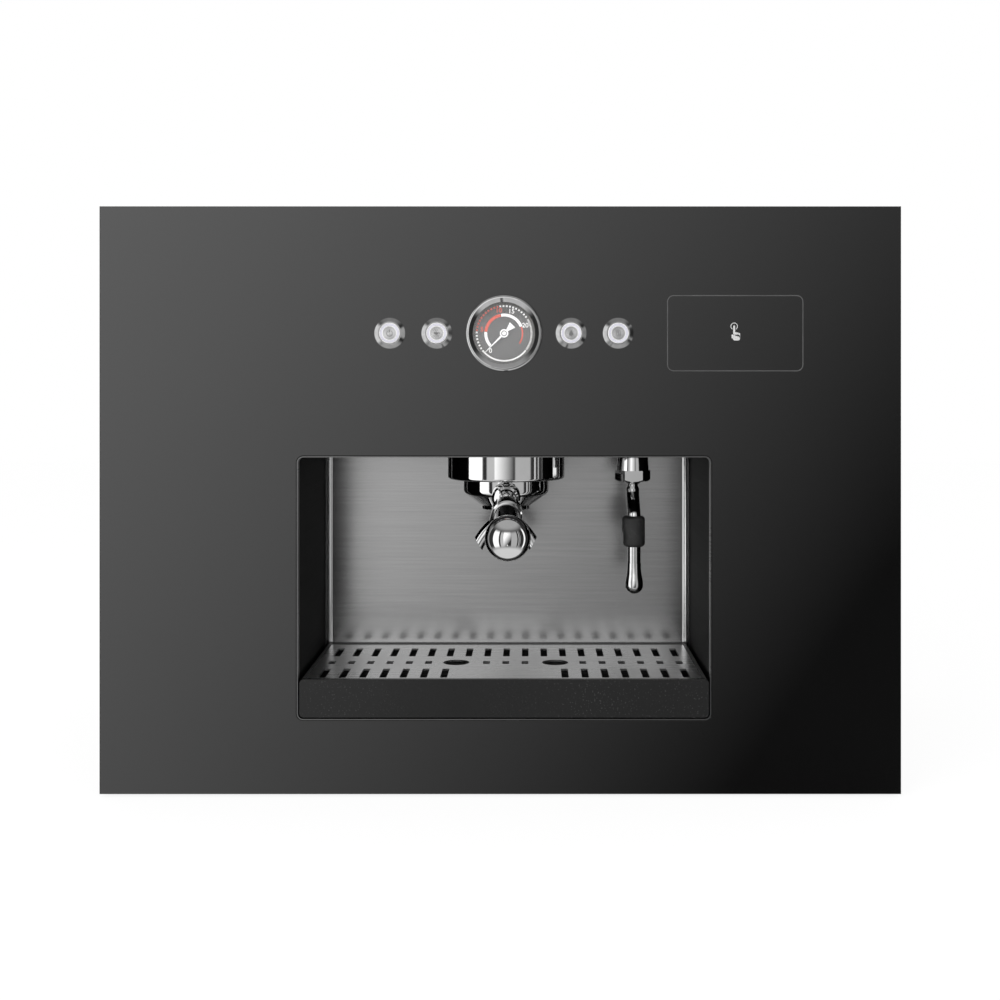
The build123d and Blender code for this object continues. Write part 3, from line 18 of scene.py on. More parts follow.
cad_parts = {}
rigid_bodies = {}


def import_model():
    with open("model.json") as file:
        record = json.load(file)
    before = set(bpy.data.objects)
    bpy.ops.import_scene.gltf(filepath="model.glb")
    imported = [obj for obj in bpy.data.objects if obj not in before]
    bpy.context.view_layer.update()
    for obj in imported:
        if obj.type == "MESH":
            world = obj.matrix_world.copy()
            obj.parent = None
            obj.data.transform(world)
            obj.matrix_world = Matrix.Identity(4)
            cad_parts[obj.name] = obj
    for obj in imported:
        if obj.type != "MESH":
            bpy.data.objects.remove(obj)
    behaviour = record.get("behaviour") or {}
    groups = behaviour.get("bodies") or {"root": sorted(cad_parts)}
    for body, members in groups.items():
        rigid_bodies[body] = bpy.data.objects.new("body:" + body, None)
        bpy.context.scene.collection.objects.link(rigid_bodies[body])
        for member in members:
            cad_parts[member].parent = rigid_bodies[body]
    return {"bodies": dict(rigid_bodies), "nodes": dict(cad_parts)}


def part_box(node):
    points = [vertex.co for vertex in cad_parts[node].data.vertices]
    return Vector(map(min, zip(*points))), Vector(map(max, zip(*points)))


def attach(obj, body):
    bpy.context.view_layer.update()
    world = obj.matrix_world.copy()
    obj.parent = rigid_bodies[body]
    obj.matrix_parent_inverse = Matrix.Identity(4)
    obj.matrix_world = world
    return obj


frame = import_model()

LOG = logging.getLogger("coffee_machine")
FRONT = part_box("front_glass")[0].y
# Height of the buttons, the gauge and the display, in metres.
CONTROLS = 0.347

Triple = tuple[float, float, float]
Colour = Triple
Pair = tuple[float, float]
Point = Pair


def grey(level: float) -> Colour:
    """A neutral colour of one linear level."""
    return (level, level, level)


def even(value: float) -> Triple:
    """The same number along all three axes."""
    return (value, value, value)


# ------------------------------------------------------------------ node graphs


class Signal:
    """An output socket that takes part in sums as a number does."""

    def __init__(self, graph: "Graph", socket: bpy.types.NodeSocket) -> None:
        """Remembers the socket and the graph in which its sums are built."""
        self.graph = graph
        self.socket = socket

    def __add__(self, other: "Signal | float") -> "Signal":
        """self + other."""
        return self.graph.sum("ADD", self, other)

    def __radd__(self, other: float) -> "Signal":
        """other + self."""
        return self.graph.sum("ADD", other, self)

    def __sub__(self, other: "Signal | float") -> "Signal":
        """self - other."""
        return self.graph.sum("SUBTRACT", self, other)

    def __rsub__(self, other: float) -> "Signal":
        """other - self."""
        return self.graph.sum("SUBTRACT", other, self)

    def __mul__(self, other: "Signal | float") -> "Signal":
        """self * other."""
        return self.graph.sum("MULTIPLY", self, other)

    def __rmul__(self, other: float) -> "Signal":
        """other * self."""
        return self.graph.sum("MULTIPLY", other, self)

    def __truediv__(self, other: "Signal | float") -> "Signal":
        """self / other."""
        return self.graph.sum("DIVIDE", self, other)

    def __pow__(self, other: "Signal | float") -> "Signal":
        """self ** other."""
        return self.graph.sum("POWER", self, other)

    def __neg__(self) -> "Signal":
        """-self."""
        return self.graph.sum("MULTIPLY", self, -1.0)

    def clamped(self, low: float = 0.0, high: float = 1.0) -> "Signal":
        """self held between two numbers."""
        return self.graph.sum("MINIMUM", self.graph.sum("MAXIMUM", self, low), high)

    def step(self, start: float, end: float) -> "Signal":
        """A smooth rise from 0 at start to 1 at end, or a fall where end is below start."""
        sockets = {"Value": self, "From Min": start, "From Max": end}
        return self.graph.pick("ShaderNodeMapRange", {"interpolation_type": "SMOOTHSTEP"}, sockets)

    def band(self, low: float, high: float, soft: float) -> "Signal":
        """1 between low and high with soft edges, 0 outside."""
        return self.step(low - soft, low + soft) * self.step(high + soft, high - soft)


class Graph:
    """A node tree that is filled through one method."""

    def __init__(self, tree: bpy.types.NodeTree) -> None:
        """Empties the tree and takes it over."""
        self.tree = tree
        tree.nodes.clear()

    def node(
        self,
        kind: str,
        settings: Mapping[str, object] | None = None,
        sockets: Mapping[str | int, object] | None = None,
    ) -> bpy.types.Node:
        """Adds one node.

        Args:
            kind: the node's type name.
            settings: its properties, set first.
            sockets: a value or a Signal for each named or numbered input.

        Returns:
            The new node.
        """
        node = self.tree.nodes.new(kind)
        for name, value in (settings or {}).items():
            setattr(node, name, value)
        for key, value in (sockets or {}).items():
            entry = node.inputs[key]
            if isinstance(value, Signal):
                self.tree.links.new(value.socket, entry)
            elif entry.type == "RGBA" and len(value) == 3:
                entry.default_value = (*value, 1.0)
            else:
                entry.default_value = value
        return node

    def pick(
        self,
        kind: str,
        settings: Mapping[str, object] | None = None,
        sockets: Mapping[str | int, object] | None = None,
        output: str | int = 0,
    ) -> Signal:
        """Adds one node as node() does.

        Args:
            kind: the node's type name.
            settings: its properties.
            sockets: its inputs.
            output: the name or number of the wanted output.

        Returns:
            That output as a Signal.
        """
        return Signal(self, self.node(kind, settings, sockets).outputs[output])

    def sum(self, operation: str, *values: Signal | float) -> Signal:
        """One Math node on the given values."""
        return self.pick("ShaderNodeMath", {"operation": operation}, dict(enumerate(values)))

    def mix(self, share: Signal | float, first: Signal | Colour, second: Signal | Colour) -> Signal:
        """The colour first where share is 0 and second where it is 1."""
        # A Mix node's inputs 6 and 7 and its output 2 are the ones for colours.
        sockets = {0: share, 6: first, 7: second}
        return self.pick("ShaderNodeMix", {"data_type": "RGBA"}, sockets, 2)

    def noise(
        self,
        place: Signal,
        stretch: Triple,
        detail: float = 2.0,
        offset: Triple = (0.0, 0.0, 0.0),
    ) -> Signal:
        """Noise from 0 to 1.

        Args:
            place: the coordinates.
            stretch: how many features there are in a metre along each axis.
            detail: how many finer layers are added.
            offset: moves the pattern.

        Returns:
            The noise's value.
        """
        mapping = {"Vector": place, "Scale": stretch, "Location": offset}
        spot = self.pick("ShaderNodeMapping", {}, mapping)
        return self.pick("ShaderNodeTexNoise", {}, {"Vector": spot, "Scale": 1.0, "Detail": detail})

    def bump(self, height: Signal, strength: float, distance: float) -> Signal:
        """The normal of a surface with that height, distance in metres."""
        sockets = {"Strength": strength, "Distance": distance, "Height": height}
        return self.pick("ShaderNodeBump", {}, sockets)

    def parts(self, vector: Signal) -> tuple[Signal, Signal, Signal]:
        """The three numbers of a vector."""
        outputs = self.node("ShaderNodeSeparateXYZ", {}, {0: vector}).outputs
        return Signal(self, outputs[0]), Signal(self, outputs[1]), Signal(self, outputs[2])

    def vector(self, x: Signal | float, y: Signal | float, z: Signal | float) -> Signal:
        """A vector of three numbers."""
        return self.pick("ShaderNodeCombineXYZ", {}, {0: x, 1: y, 2: z})

    def seen(self) -> Signal:
        """1 for rays from the camera, also through glass, and 0 for all others."""
        straight = self.pick("ShaderNodeLightPath", output="Is Camera Ray")
        through = self.pick("ShaderNodeLightPath", output="Is Transmission Ray")
        return (straight + through).clamped()


# ------------------------------------------------------------------ finishes


class Grain(Enum):
    """How a metal's surface was worked."""

    BRUSHED = "brushed"
    POLISHED = "polished"
    SPANGLED = "spangled"
    CAST = "cast"


@dataclass(frozen=True)
class Finish(ABC):
    """What every finish has: a name, and a surface made from Object coordinates."""

    name: str

    def material(self) -> bpy.types.Material:
        """The material of this finish, made on its first use.

        Returns:
            A material whose nodes come from surface().
        """
        known = bpy.data.materials.get(self.name)
        if known:
            return known
        made = bpy.data.materials.new(self.name)
        made.use_nodes = True
        graph = Graph(made.node_tree)
        place = graph.pick("ShaderNodeTexCoord", output="Object")
        graph.node("ShaderNodeOutputMaterial", {}, {"Surface": self.surface(graph, place)})
        return made

    @abstractmethod
    def surface(self, graph: Graph, place: Signal) -> Signal:
        """The shader of this finish at a place on the piece."""


@dataclass(frozen=True)
class Coating(Finish):
    """Glass, enamel, plastic and rubber: clouds of two tones, fine specks and a little dust.

    clouds and specks say how many there are in a metre; unevenness is how far the clouds change
    the roughness, and relief how strong the specks stand out.
    """

    colour: Colour
    shade: Colour
    roughness: float
    ior: float = 1.5
    clouds: float = 9.0
    specks: float = 1500.0
    unevenness: float = 0.08
    dust: float = 0.05
    relief: float = 0.1
    dust_colour: Colour = (0.45, 0.45, 0.45)
    dust_roughness: float = 0.4
    speck_height: float = 0.0001
    # Noise levels between which a speck, a dusty cloud and a shaded cloud set in.
    speck_edge: Pair = (0.6, 0.72)
    dusty_edge: Pair = (0.35, 0.7)
    shade_edge: Pair = (0.3, 0.7)

    def surface(self, graph: Graph, place: Signal) -> Signal:
        """A plain shader with uneven roughness, specks and dust.

        Args:
            graph: the material's graph.
            place: Object coordinates.

        Returns:
            The shader.
        """
        cloud = graph.noise(place, even(self.clouds), 3.0)
        speck = graph.noise(place, even(self.specks), 2.0)
        dusty = speck.step(*self.speck_edge) * cloud.step(*self.dusty_edge) * self.dust
        tint = graph.mix(cloud.step(*self.shade_edge), self.colour, self.shade)
        rough = self.roughness + (cloud - 0.5) * self.unevenness + dusty * self.dust_roughness
        sockets = {
            "Base Color": graph.mix(dusty, tint, self.dust_colour),
            "Roughness": rough.clamped(0.01, 1.0),
            "IOR": self.ior,
            "Normal": graph.bump(speck, self.relief, self.speck_height),
        }
        return graph.pick("ShaderNodeBsdfPrincipled", {}, sockets)


@dataclass(frozen=True)
class Metal(Finish):
    """Steel, chrome, brass and copper, with the marks of how they were worked.

    stretch says how many marks there are in a metre along each axis, relief how strong they
    stand out, and contrast how much darker than the colour they are. coarse is how much sparser
    the second layer of a brushed metal's marks is, and wipes how many broad ones a metre has.
    """

    colour: Colour
    roughness: float
    grain: Grain
    stretch: Triple = (40.0, 40.0, 40.0)
    relief: float = 0.15
    contrast: float = 0.12
    mark_height: float = 0.00004
    coarse: float = 0.31
    wipes: float = 13.0
    grit: float = 900.0
    tint_edge: Pair = (0.25, 0.75)

    def pattern(self, graph: Graph, place: Signal) -> Signal:
        """The height of the worked surface, from 0 to 1.

        Args:
            graph: the material's graph.
            place: Object coordinates.

        Returns:
            The height. Polished and cast metal have plain noise.
        """
        if self.grain is Grain.SPANGLED:
            spot = graph.pick("ShaderNodeMapping", {}, {"Vector": place, "Scale": self.stretch})
            cells = graph.pick("ShaderNodeTexVoronoi", {}, {"Vector": spot, "Scale": 1.0}, "Color")
            return graph.parts(cells)[0] * 0.7 + graph.noise(place, even(self.grit)) * 0.3
        fine = graph.noise(place, self.stretch, 4.0)
        if self.grain is Grain.BRUSHED:
            long = tuple(value * self.coarse for value in self.stretch)
            return fine * 0.6 + graph.noise(place, long, 2.0, (0.4, 0.2, 0.7)) * 0.4
        return fine

    def surface(self, graph: Graph, place: Signal) -> Signal:
        """A metal shader whose colour, gloss and relief follow the pattern.

        Args:
            graph: the material's graph.
            place: Object coordinates.

        Returns:
            The shader.
        """
        height = self.pattern(graph, place)
        wiped = graph.noise(place, even(self.wipes), 3.0, (0.3, 0.8, 0.1))
        dark = tuple(value * (1.0 - 2.0 * self.contrast) for value in self.colour)
        spread = self.roughness * 0.5
        rough = self.roughness + (height - 0.5) * spread + (wiped - 0.5) * spread
        sockets = {
            "Base Color": graph.mix(height.step(*self.tint_edge), dark, self.colour),
            "Metallic": 1.0,
            "Roughness": rough.clamped(0.015, 1.0),
            "Normal": graph.bump(height, self.relief, self.mark_height),
        }
        return graph.pick("ShaderNodeBsdfPrincipled", {}, sockets)


@dataclass(frozen=True)
class Turned(Finish):
    """Steel with fine rings round a centre on the front, as a lathe or a round brush leaves it, and
    a painted highlight.

    rings and layers say how many there are in a metre outwards and inwards; shade is the darkest
    tone's share of the colour, and the highlight's turn moves the two bright wedges of painted
    highlight, in radians.
    """

    colour: Colour
    roughness: float
    centre: Point
    rings: float = 5200.0
    layers: float = 200.0
    shade: float = 0.55
    highlight_turn: float = 0.9
    ring_roughness: float = 0.12
    relief: float = 0.25
    ring_height: float = 0.00003

    def surface(self, graph: Graph, place: Signal) -> Signal:
        """A metal shader with rings round the centre and a painted highlight in two wedges.

        Args:
            graph: the material's graph.
            place: Object coordinates.

        Returns:
            The shader.
        """
        x, y, z = graph.parts(place)
        across, up = x - self.centre[0], z - self.centre[1]
        radius = (across * across + up * up) ** 0.5
        spot = graph.vector(radius * self.rings, y * self.layers, 0.0)
        ring = graph.pick("ShaderNodeTexNoise", {}, {"Vector": spot, "Scale": 1.0})
        angle = graph.sum("ARCTAN2", up, across)
        # Painted highlight: two bright wedges across the cap, where its circular brushing would
        # catch the light.
        painted_highlight = graph.sum("SINE", angle * 2.0 + self.highlight_turn) * 0.5 + 0.5
        dark = tuple(value * self.shade for value in self.colour)
        sockets = {
            "Base Color": graph.mix(ring.step(0.2, 0.8) * 0.5 + painted_highlight * 0.5, dark, self.colour),
            "Metallic": 1.0,
            "Roughness": self.roughness + ring * self.ring_roughness,
            "Normal": graph.bump(ring, self.relief, self.ring_height),
        }
        return graph.pick("ShaderNodeBsdfPrincipled", {}, sockets)


@dataclass(frozen=True)
class NicheWall(Finish):
    """Side walls painted near black as a painted dark reflection of the steel shell, with steel at
    the rounded rear corners.

    corner_depth is how far behind the glass the steel starts, and corner_edge half the width of the
    change; black, the painted dark reflection, and steel are each a darkest and a lightest level.
    The steel is smoother than the black by smoothing.
    """

    corner_depth: float = 0.1403
    corner_edge: float = 0.0006
    black: Pair = (0.0008, 0.0018)
    steel: Pair = (0.62, 0.74)
    brush: Triple = (7.0, 7.0, 1500.0)
    # The black's weak gloss keeps the painted dark walls from mirroring the lit back plate.
    black_gloss: float = 0.04
    roughness: float = 0.5
    smoothing: float = 0.3
    unevenness: float = 0.08
    clouds: float = 11.0
    relief: float = 0.05
    brush_height: float = 0.00004

    def surface(self, graph: Graph, place: Signal) -> Signal:
        """Painted dark reflection in near black up to the rear corners, steel from there on.

        Args:
            graph: the material's graph.
            place: Object coordinates.

        Returns:
            The shader.
        """
        _, y, _ = graph.parts(place)
        steel_corner = (y - FRONT).step(
            self.corner_depth - self.corner_edge, self.corner_depth + self.corner_edge
        )
        brushed = graph.noise(place, self.brush, 3.0)
        cloud = graph.noise(place, even(self.clouds), 3.0)
        # Painted dark reflection: the side walls' near black stands in for what the steel shell
        # mirrors.
        black = graph.mix(cloud, grey(self.black[0]), grey(self.black[1]))
        steel = graph.mix(brushed, grey(self.steel[0]), grey(self.steel[1]))
        sockets = {
            "Base Color": graph.mix(steel_corner, black, steel),
            "Metallic": steel_corner,
            "Roughness": self.roughness - steel_corner * self.smoothing + (brushed - 0.5) * self.unevenness,
            "Specular IOR Level": self.black_gloss,
            "Normal": graph.bump(brushed, self.relief, self.brush_height),
        }
        return graph.pick("ShaderNodeBsdfPrincipled", {}, sockets)


@dataclass(frozen=True)
class ClearLens(Finish):
    """A clear lens with a trace of haze.

    roughness and cover are each a lowest value and what the uneven film adds to it.
    """

    haze: Pair = (0.5, 0.6)
    clouds: float = 160.0
    roughness: Pair = (0.03, 0.03)
    cover: Pair = (0.03, 0.04)

    def surface(self, graph: Graph, place: Signal) -> Signal:
        """Almost clear, with a faint uneven film.

        Args:
            graph: the material's graph.
            place: Object coordinates.

        Returns:
            The shader.
        """
        film = graph.noise(place, even(self.clouds), 3.0)
        sockets = {
            "Base Color": graph.mix(film, grey(self.haze[0]), grey(self.haze[1])),
            "Roughness": self.roughness[0] + film * self.roughness[1],
            "Alpha": self.cover[0] + film * self.cover[1],
        }
        return graph.pick("ShaderNodeBsdfPrincipled", {}, sockets)


@dataclass(frozen=True)
class DialFace(Finish):
    """A grey dial, darker towards its top, with the fine grain of printed sheet.

    fade is where it turns from light to dark, in metres above its centre, and fade_share how
    far; grain_share is how strong the grain shows in the colour.
    """

    centre_z: float
    light: Colour
    dark: Colour
    fade: Pair = (0.004, 0.022)
    fade_share: float = 0.8
    grains: float = 2600.0
    grain_share: float = 0.12
    grain_colour: Colour = (0.5, 0.5, 0.5)
    roughness: float = 0.5
    unevenness: float = 0.15
    relief: float = 0.08
    grain_height: float = 0.00003

    def surface(self, graph: Graph, place: Signal) -> Signal:
        """Matt grey with a soft change in height.

        Args:
            graph: the material's graph.
            place: Object coordinates.

        Returns:
            The shader.
        """
        _, _, z = graph.parts(place)
        grain = graph.noise(place, even(self.grains), 2.0)
        upper = (z - self.centre_z).step(*self.fade)
        paint = graph.mix(upper * self.fade_share, self.light, self.dark)
        sockets = {
            "Base Color": graph.mix(grain * self.grain_share, paint, self.grain_colour),
            "Roughness": self.roughness + (grain - 0.5) * self.unevenness,
            "Normal": graph.bump(grain, self.relief, self.grain_height),
        }
        return graph.pick("ShaderNodeBsdfPrincipled", {}, sockets)


@dataclass(frozen=True)
class BoardFinish(Finish):
    """Green solder mask with paler tracks in a square net, and bright metal pads."""

    mask: Colour = (0.02, 0.12, 0.045)
    track: Colour = (0.05, 0.22, 0.1)
    pad: Colour = (0.62, 0.6, 0.55)
    squares: float = 420.0
    track_band: Triple = (0.42, 0.5, 0.03)
    pads: float = 700.0
    pad_edge: Pair = (0.62, 0.66)
    roughness: float = 0.32
    track_roughness: float = 0.1
    relief: float = 0.2
    copper_height: float = 0.00005

    def surface(self, graph: Graph, place: Signal) -> Signal:
        """Tracks and pads on green.

        Args:
            graph: the material's graph.
            place: Object coordinates.

        Returns:
            The shader.
        """
        spot = graph.pick("ShaderNodeMapping", {}, {"Vector": place, "Scale": even(self.squares)})
        square = {"distance": "CHEBYCHEV"}
        cells = graph.pick("ShaderNodeTexVoronoi", square, {"Vector": spot, "Scale": 1.0})
        track = cells.band(*self.track_band)
        pad = graph.noise(place, even(self.pads), 1.0).step(*self.pad_edge)
        sockets = {
            "Base Color": graph.mix(pad, graph.mix(track, self.mask, self.track), self.pad),
            "Roughness": self.roughness + track * self.track_roughness,
            "Metallic": pad,
            "Normal": graph.bump(track + pad, self.relief, self.copper_height),
        }
        return graph.pick("ShaderNodeBsdfPrincipled", {}, sockets)


@dataclass(frozen=True)
class PaleFloor(Finish):
    """A matt pale floor that looks nearly white to the camera and keeps a faint shadow."""

    pale: Pair = (0.86, 0.9)
    clouds: float = 3.0
    white_share: float = 0.84
    white_strength: float = 1.05

    def surface(self, graph: Graph, place: Signal) -> Signal:
        """Matt grey for light, mixed with plain white for the camera.

        Args:
            graph: the material's graph.
            place: Object coordinates.

        Returns:
            The shader.
        """
        cloud = graph.noise(place, even(self.clouds))
        tint = graph.mix(cloud, grey(self.pale[0]), grey(self.pale[1]))
        matt = graph.pick("ShaderNodeBsdfDiffuse", {}, {"Color": tint})
        white = graph.pick(
            "ShaderNodeEmission", {}, {"Color": grey(1.0), "Strength": self.white_strength}
        )
        share = graph.seen() * self.white_share
        return graph.pick("ShaderNodeMixShader", {}, {0: share, 1: matt, 2: white})


BLACK_GLASS = Coating(
    "Black front glass", grey(0.0012), grey(0.002), roughness=0.03, ior=1.7, clouds=4.0,
    specks=1800.0, unevenness=0.012, dust=0.004, relief=0.0,
)
BLACK_ENAMEL = Coating(
    "Satin black enamel", grey(0.014), grey(0.02), roughness=0.3, ior=1.4, clouds=12.0,
    specks=1600.0, unevenness=0.1, dust=0.25, relief=0.15,
)
FASCIA_BLACK = Coating(
    "Satin black of the tray front", grey(0.007), grey(0.01), roughness=0.26, ior=1.38,
    clouds=6.0, specks=700.0, dust=0.06,
)
DISPLAY_BLACK = Coating("Display cover black", grey(0.012), grey(0.018), roughness=0.2)
TRAY_PLASTIC = Coating(
    "Dark tray moulding", grey(0.035), grey(0.045), roughness=0.45, clouds=20.0, specks=900.0,
    unevenness=0.1, dust=0.1, relief=0.3,
)
SEAL_RUBBER = Coating(
    "Black rubber", grey(0.006), grey(0.011), roughness=0.55, clouds=60.0, specks=2200.0,
    unevenness=0.15, dust=0.3, relief=0.5,
)
SWITCH_PLASTIC = Coating(
    "Black switch plastic", grey(0.045), grey(0.06), roughness=0.42, clouds=30.0, unevenness=0.1,
    dust=0.1, relief=0.35,
)
SEAT_PLASTIC = Coating(
    "White bearing plastic", grey(0.84), grey(0.88), roughness=0.4, clouds=40.0, unevenness=0.1,
    relief=0.2,
)
HOSE_WHITE = Coating(
    "Milky silicone hose", grey(0.78), grey(0.84), roughness=0.35, ior=1.45, clouds=25.0,
    specks=1200.0, unevenness=0.1, dust=0.08, relief=0.25,
)
VALVE_BLACK = Coating(
    "Black coil housing", grey(0.05), grey(0.07), roughness=0.5, clouds=35.0, specks=1300.0,
    unevenness=0.12, dust=0.15, relief=0.4,
)
LIGHT_RING = Coating(
    "Lilac light ring", (0.46, 0.45, 0.52), (0.54, 0.53, 0.6), roughness=0.32, clouds=150.0,
    specks=2500.0, unevenness=0.1, dust=0.04,
)
RING_LINE = Coating(
    "White ring line", grey(0.82), grey(0.88), roughness=0.35, clouds=90.0, specks=2500.0,
    unevenness=0.1, dust=0.02,
)
ETCHED_MARK = Coating(
    "Etched mark", grey(0.1), grey(0.14), roughness=0.6, clouds=200.0, specks=3000.0,
    unevenness=0.1, relief=0.2,
)
DISPLAY_INK = Coating(
    "Grey display ink", grey(0.045), grey(0.06), roughness=0.4, clouds=60.0, specks=2500.0,
    unevenness=0.1, dust=0.03,
)
POINTER_INK = Coating(
    "Pale display ink", grey(0.42), grey(0.5), roughness=0.4, clouds=60.0, specks=2500.0,
    unevenness=0.1, dust=0.03,
)
DIAL_WHITE = Coating(
    "White dial ink", grey(0.86), grey(0.92), roughness=0.45, clouds=150.0, specks=3000.0,
    unevenness=0.1, dust=0.03, relief=0.15,
)
DIAL_RED = Coating(
    "Red dial ink", (0.62, 0.1, 0.07), (0.7, 0.13, 0.09), roughness=0.45, clouds=150.0,
    specks=3000.0, unevenness=0.1, dust=0.03, relief=0.15,
)
NICHE_BACK = Metal(
    "Brushed niche steel", grey(0.45), roughness=0.22, grain=Grain.BRUSHED,
    stretch=(18.0, 18.0, 2200.0), relief=0.09, contrast=0.09,
)
GRID_STEEL = Metal(
    "Brushed grid steel", grey(0.74), roughness=0.29, grain=Grain.BRUSHED,
    stretch=(14.0, 2400.0, 2400.0), relief=0.1, contrast=0.07,
)
TRIM_STEEL = Metal(
    "Dark trim steel", grey(0.2), roughness=0.3, grain=Grain.BRUSHED,
    stretch=(30.0, 30.0, 1500.0), relief=0.2,
)
CHROME = Metal(
    "Bright chrome", grey(0.76), roughness=0.05, grain=Grain.POLISHED, stretch=even(70.0),
    relief=0.02, contrast=0.03,
)
RING_CHROME = Metal(
    "Chrome of the button rings", grey(0.4), roughness=0.07, grain=Grain.POLISHED,
    stretch=even(300.0), relief=0.03, contrast=0.08,
)
BEZEL_CHROME = Metal(
    "Chrome of the gauge ring", grey(0.58), roughness=0.06, grain=Grain.POLISHED,
    stretch=even(120.0), relief=0.03, contrast=0.05,
)
POLISHED_STEEL = Metal(
    "Polished steel", grey(0.7), roughness=0.08, grain=Grain.POLISHED, stretch=even(260.0),
    relief=0.12, contrast=0.06,
)
BRASS = Metal(
    "Turned brass", (0.7, 0.54, 0.26), roughness=0.26, grain=Grain.BRUSHED,
    stretch=(500.0, 500.0, 2200.0), relief=0.2,
)
COPPER = Metal(
    "Drawn copper", (0.72, 0.42, 0.28), roughness=0.24, grain=Grain.POLISHED, stretch=even(90.0),
    contrast=0.16,
)
SHEET_STEEL = Metal(
    "Zinc-coated sheet", grey(0.6), roughness=0.38, grain=Grain.SPANGLED, stretch=even(240.0),
    relief=0.03, contrast=0.04,
)
SCREW_STEEL = Metal(
    "Plated screw steel", grey(0.66), roughness=0.3, grain=Grain.POLISHED, stretch=even(900.0),
    relief=0.2, contrast=0.1,
)
BOILER_STEEL = Metal(
    "Pickled boiler steel", grey(0.6), roughness=0.42, grain=Grain.CAST,
    stretch=(150.0, 150.0, 420.0), relief=0.4, contrast=0.14,
)


# ------------------------------------------------------------------ meshes

# The widest step along an arc, in degrees.
ARC_STEP = 3.0
# The last angle of a whole circle, one step short so that its first point isn't doubled.
ROUND = 360.0 - ARC_STEP
# How much a number's strokes are thickened, as a share of its height.
THICKENING = 0.012
# Points of a mesh nearer than this are one point, in metres.
MERGE = 1e-7


def arc(centre: Point, radius: float, start: float, end: float) -> list[Point]:
    """Points along an arc.

    Args:
        centre: the arc's centre, in metres.
        radius: its radius.
        start: its first angle in degrees, 0 to the right and growing upwards.
        end: its last angle.

    Returns:
        One point for every step or less.
    """
    count = max(2, int(abs(end - start) / ARC_STEP) + 1)
    angles = [math.radians(start + (end - start) * i / count) for i in range(count + 1)]
    return [(centre[0] + radius * math.cos(a), centre[1] + radius * math.sin(a)) for a in angles]


def circle(centre: Point, radius: float) -> list[Point]:
    """The outline of a circle, in metres."""
    return arc(centre, radius, 0.0, ROUND)


def ring_piece(centre: Point, inner: float, outer: float, start: float, end: float) -> list[Point]:
    """The outline of a part of a ring, all lengths in metres and angles in degrees."""
    return arc(centre, outer, start, end) + arc(centre, inner, end, start)


def rounded_box(centre: Point, width: float, height: float, corner: float) -> list[Point]:
    """The outline of a rectangle with round corners.

    Args:
        centre: its middle, in metres as all else.
        width: its width.
        height: its height.
        corner: the radius of its corners.

    Returns:
        The closed outline.
    """
    x, z = width / 2 - corner, height / 2 - corner
    outline: list[Point] = []
    for quarter, (side_x, side_z) in enumerate(((x, z), (-x, z), (-x, -z), (x, -z))):
        middle = (centre[0] + side_x, centre[1] + side_z)
        outline += arc(middle, corner, 90.0 * quarter, 90.0 * (quarter + 1))
    return outline


def stroke(points: Sequence[Point], width: float) -> list[Point]:
    """The outline of a line of even width.

    Args:
        points: the points that it follows, in metres.
        width: its width.

    Returns:
        The closed outline, one side first and then the other one back.
    """
    left: list[Point] = []
    right: list[Point] = []
    for i, point in enumerate(points):
        before, after = points[max(i - 1, 0)], points[min(i + 1, len(points) - 1)]
        dx, dz = after[0] - before[0], after[1] - before[1]
        length = math.hypot(dx, dz)
        nx, nz = -dz / length * width / 2, dx / length * width / 2
        left.append((point[0] + nx, point[1] + nz))
        right.append((point[0] - nx, point[1] - nz))
    return left + right[::-1]


def taken(source: bpy.types.Object) -> bpy.types.Mesh:
    """The evaluated mesh of an object, which is then removed.

    Args:
        source: a curve, a text or a mesh with modifiers.

    Returns:
        Its plain mesh.
    """
    bpy.context.scene.collection.objects.link(source)
    depsgraph = bpy.context.evaluated_depsgraph_get()
    depsgraph.update()
    mesh = bpy.data.meshes.new_from_object(source.evaluated_get(depsgraph), depsgraph=depsgraph)
    bpy.data.objects.remove(source)
    return mesh


def facing_front(y: float) -> Matrix:
    """Turns a flat shape to face the room and sets its middle at that y."""
    return Matrix.Translation((0.0, y, 0.0)) @ Matrix.Rotation(math.pi / 2, 4, "X")


def plate(outlines: Iterable[Sequence[Point]], low: float, high: float) -> bpy.types.Mesh:
    """A flat plate that faces the room.

    Args:
        outlines: closed outlines across the front, a hole's inside another.
        low: the y of its front face.
        high: the y of its rear face.

    Returns:
        The closed mesh.
    """
    curve = bpy.data.curves.new("outline", "CURVE")
    curve.dimensions, curve.fill_mode, curve.extrude = "2D", "BOTH", (high - low) / 2
    for outline in outlines:
        spline = curve.splines.new("POLY")
        spline.points.add(len(outline) - 1)
        for point, (x, z) in zip(spline.points, outline):
            point.co = (x, z, 0.0, 1.0)
        spline.use_cyclic_u = True
    mesh = taken(bpy.data.objects.new("outline", curve))
    mesh.transform(facing_front((low + high) / 2))
    return mesh


def figure(text: str, size: float, centre: Point, low: float, high: float) -> bpy.types.Mesh:
    """A plain number that faces the room.

    Args:
        text: the number.
        size: the height of its line, in metres.
        centre: the middle of the number across the front.
        low: the y of its front face.
        high: the y of its rear face.

    Returns:
        The closed mesh.
    """
    curve = bpy.data.curves.new("figure", "FONT")
    curve.body, curve.size, curve.extrude = text, size, (high - low) / 2
    curve.offset = size * THICKENING
    curve.align_x, curve.align_y = "CENTER", "CENTER"
    mesh = taken(bpy.data.objects.new("figure", curve))
    mesh.transform(Matrix.Translation((centre[0], 0.0, centre[1])) @ facing_front((low + high) / 2))
    return mesh


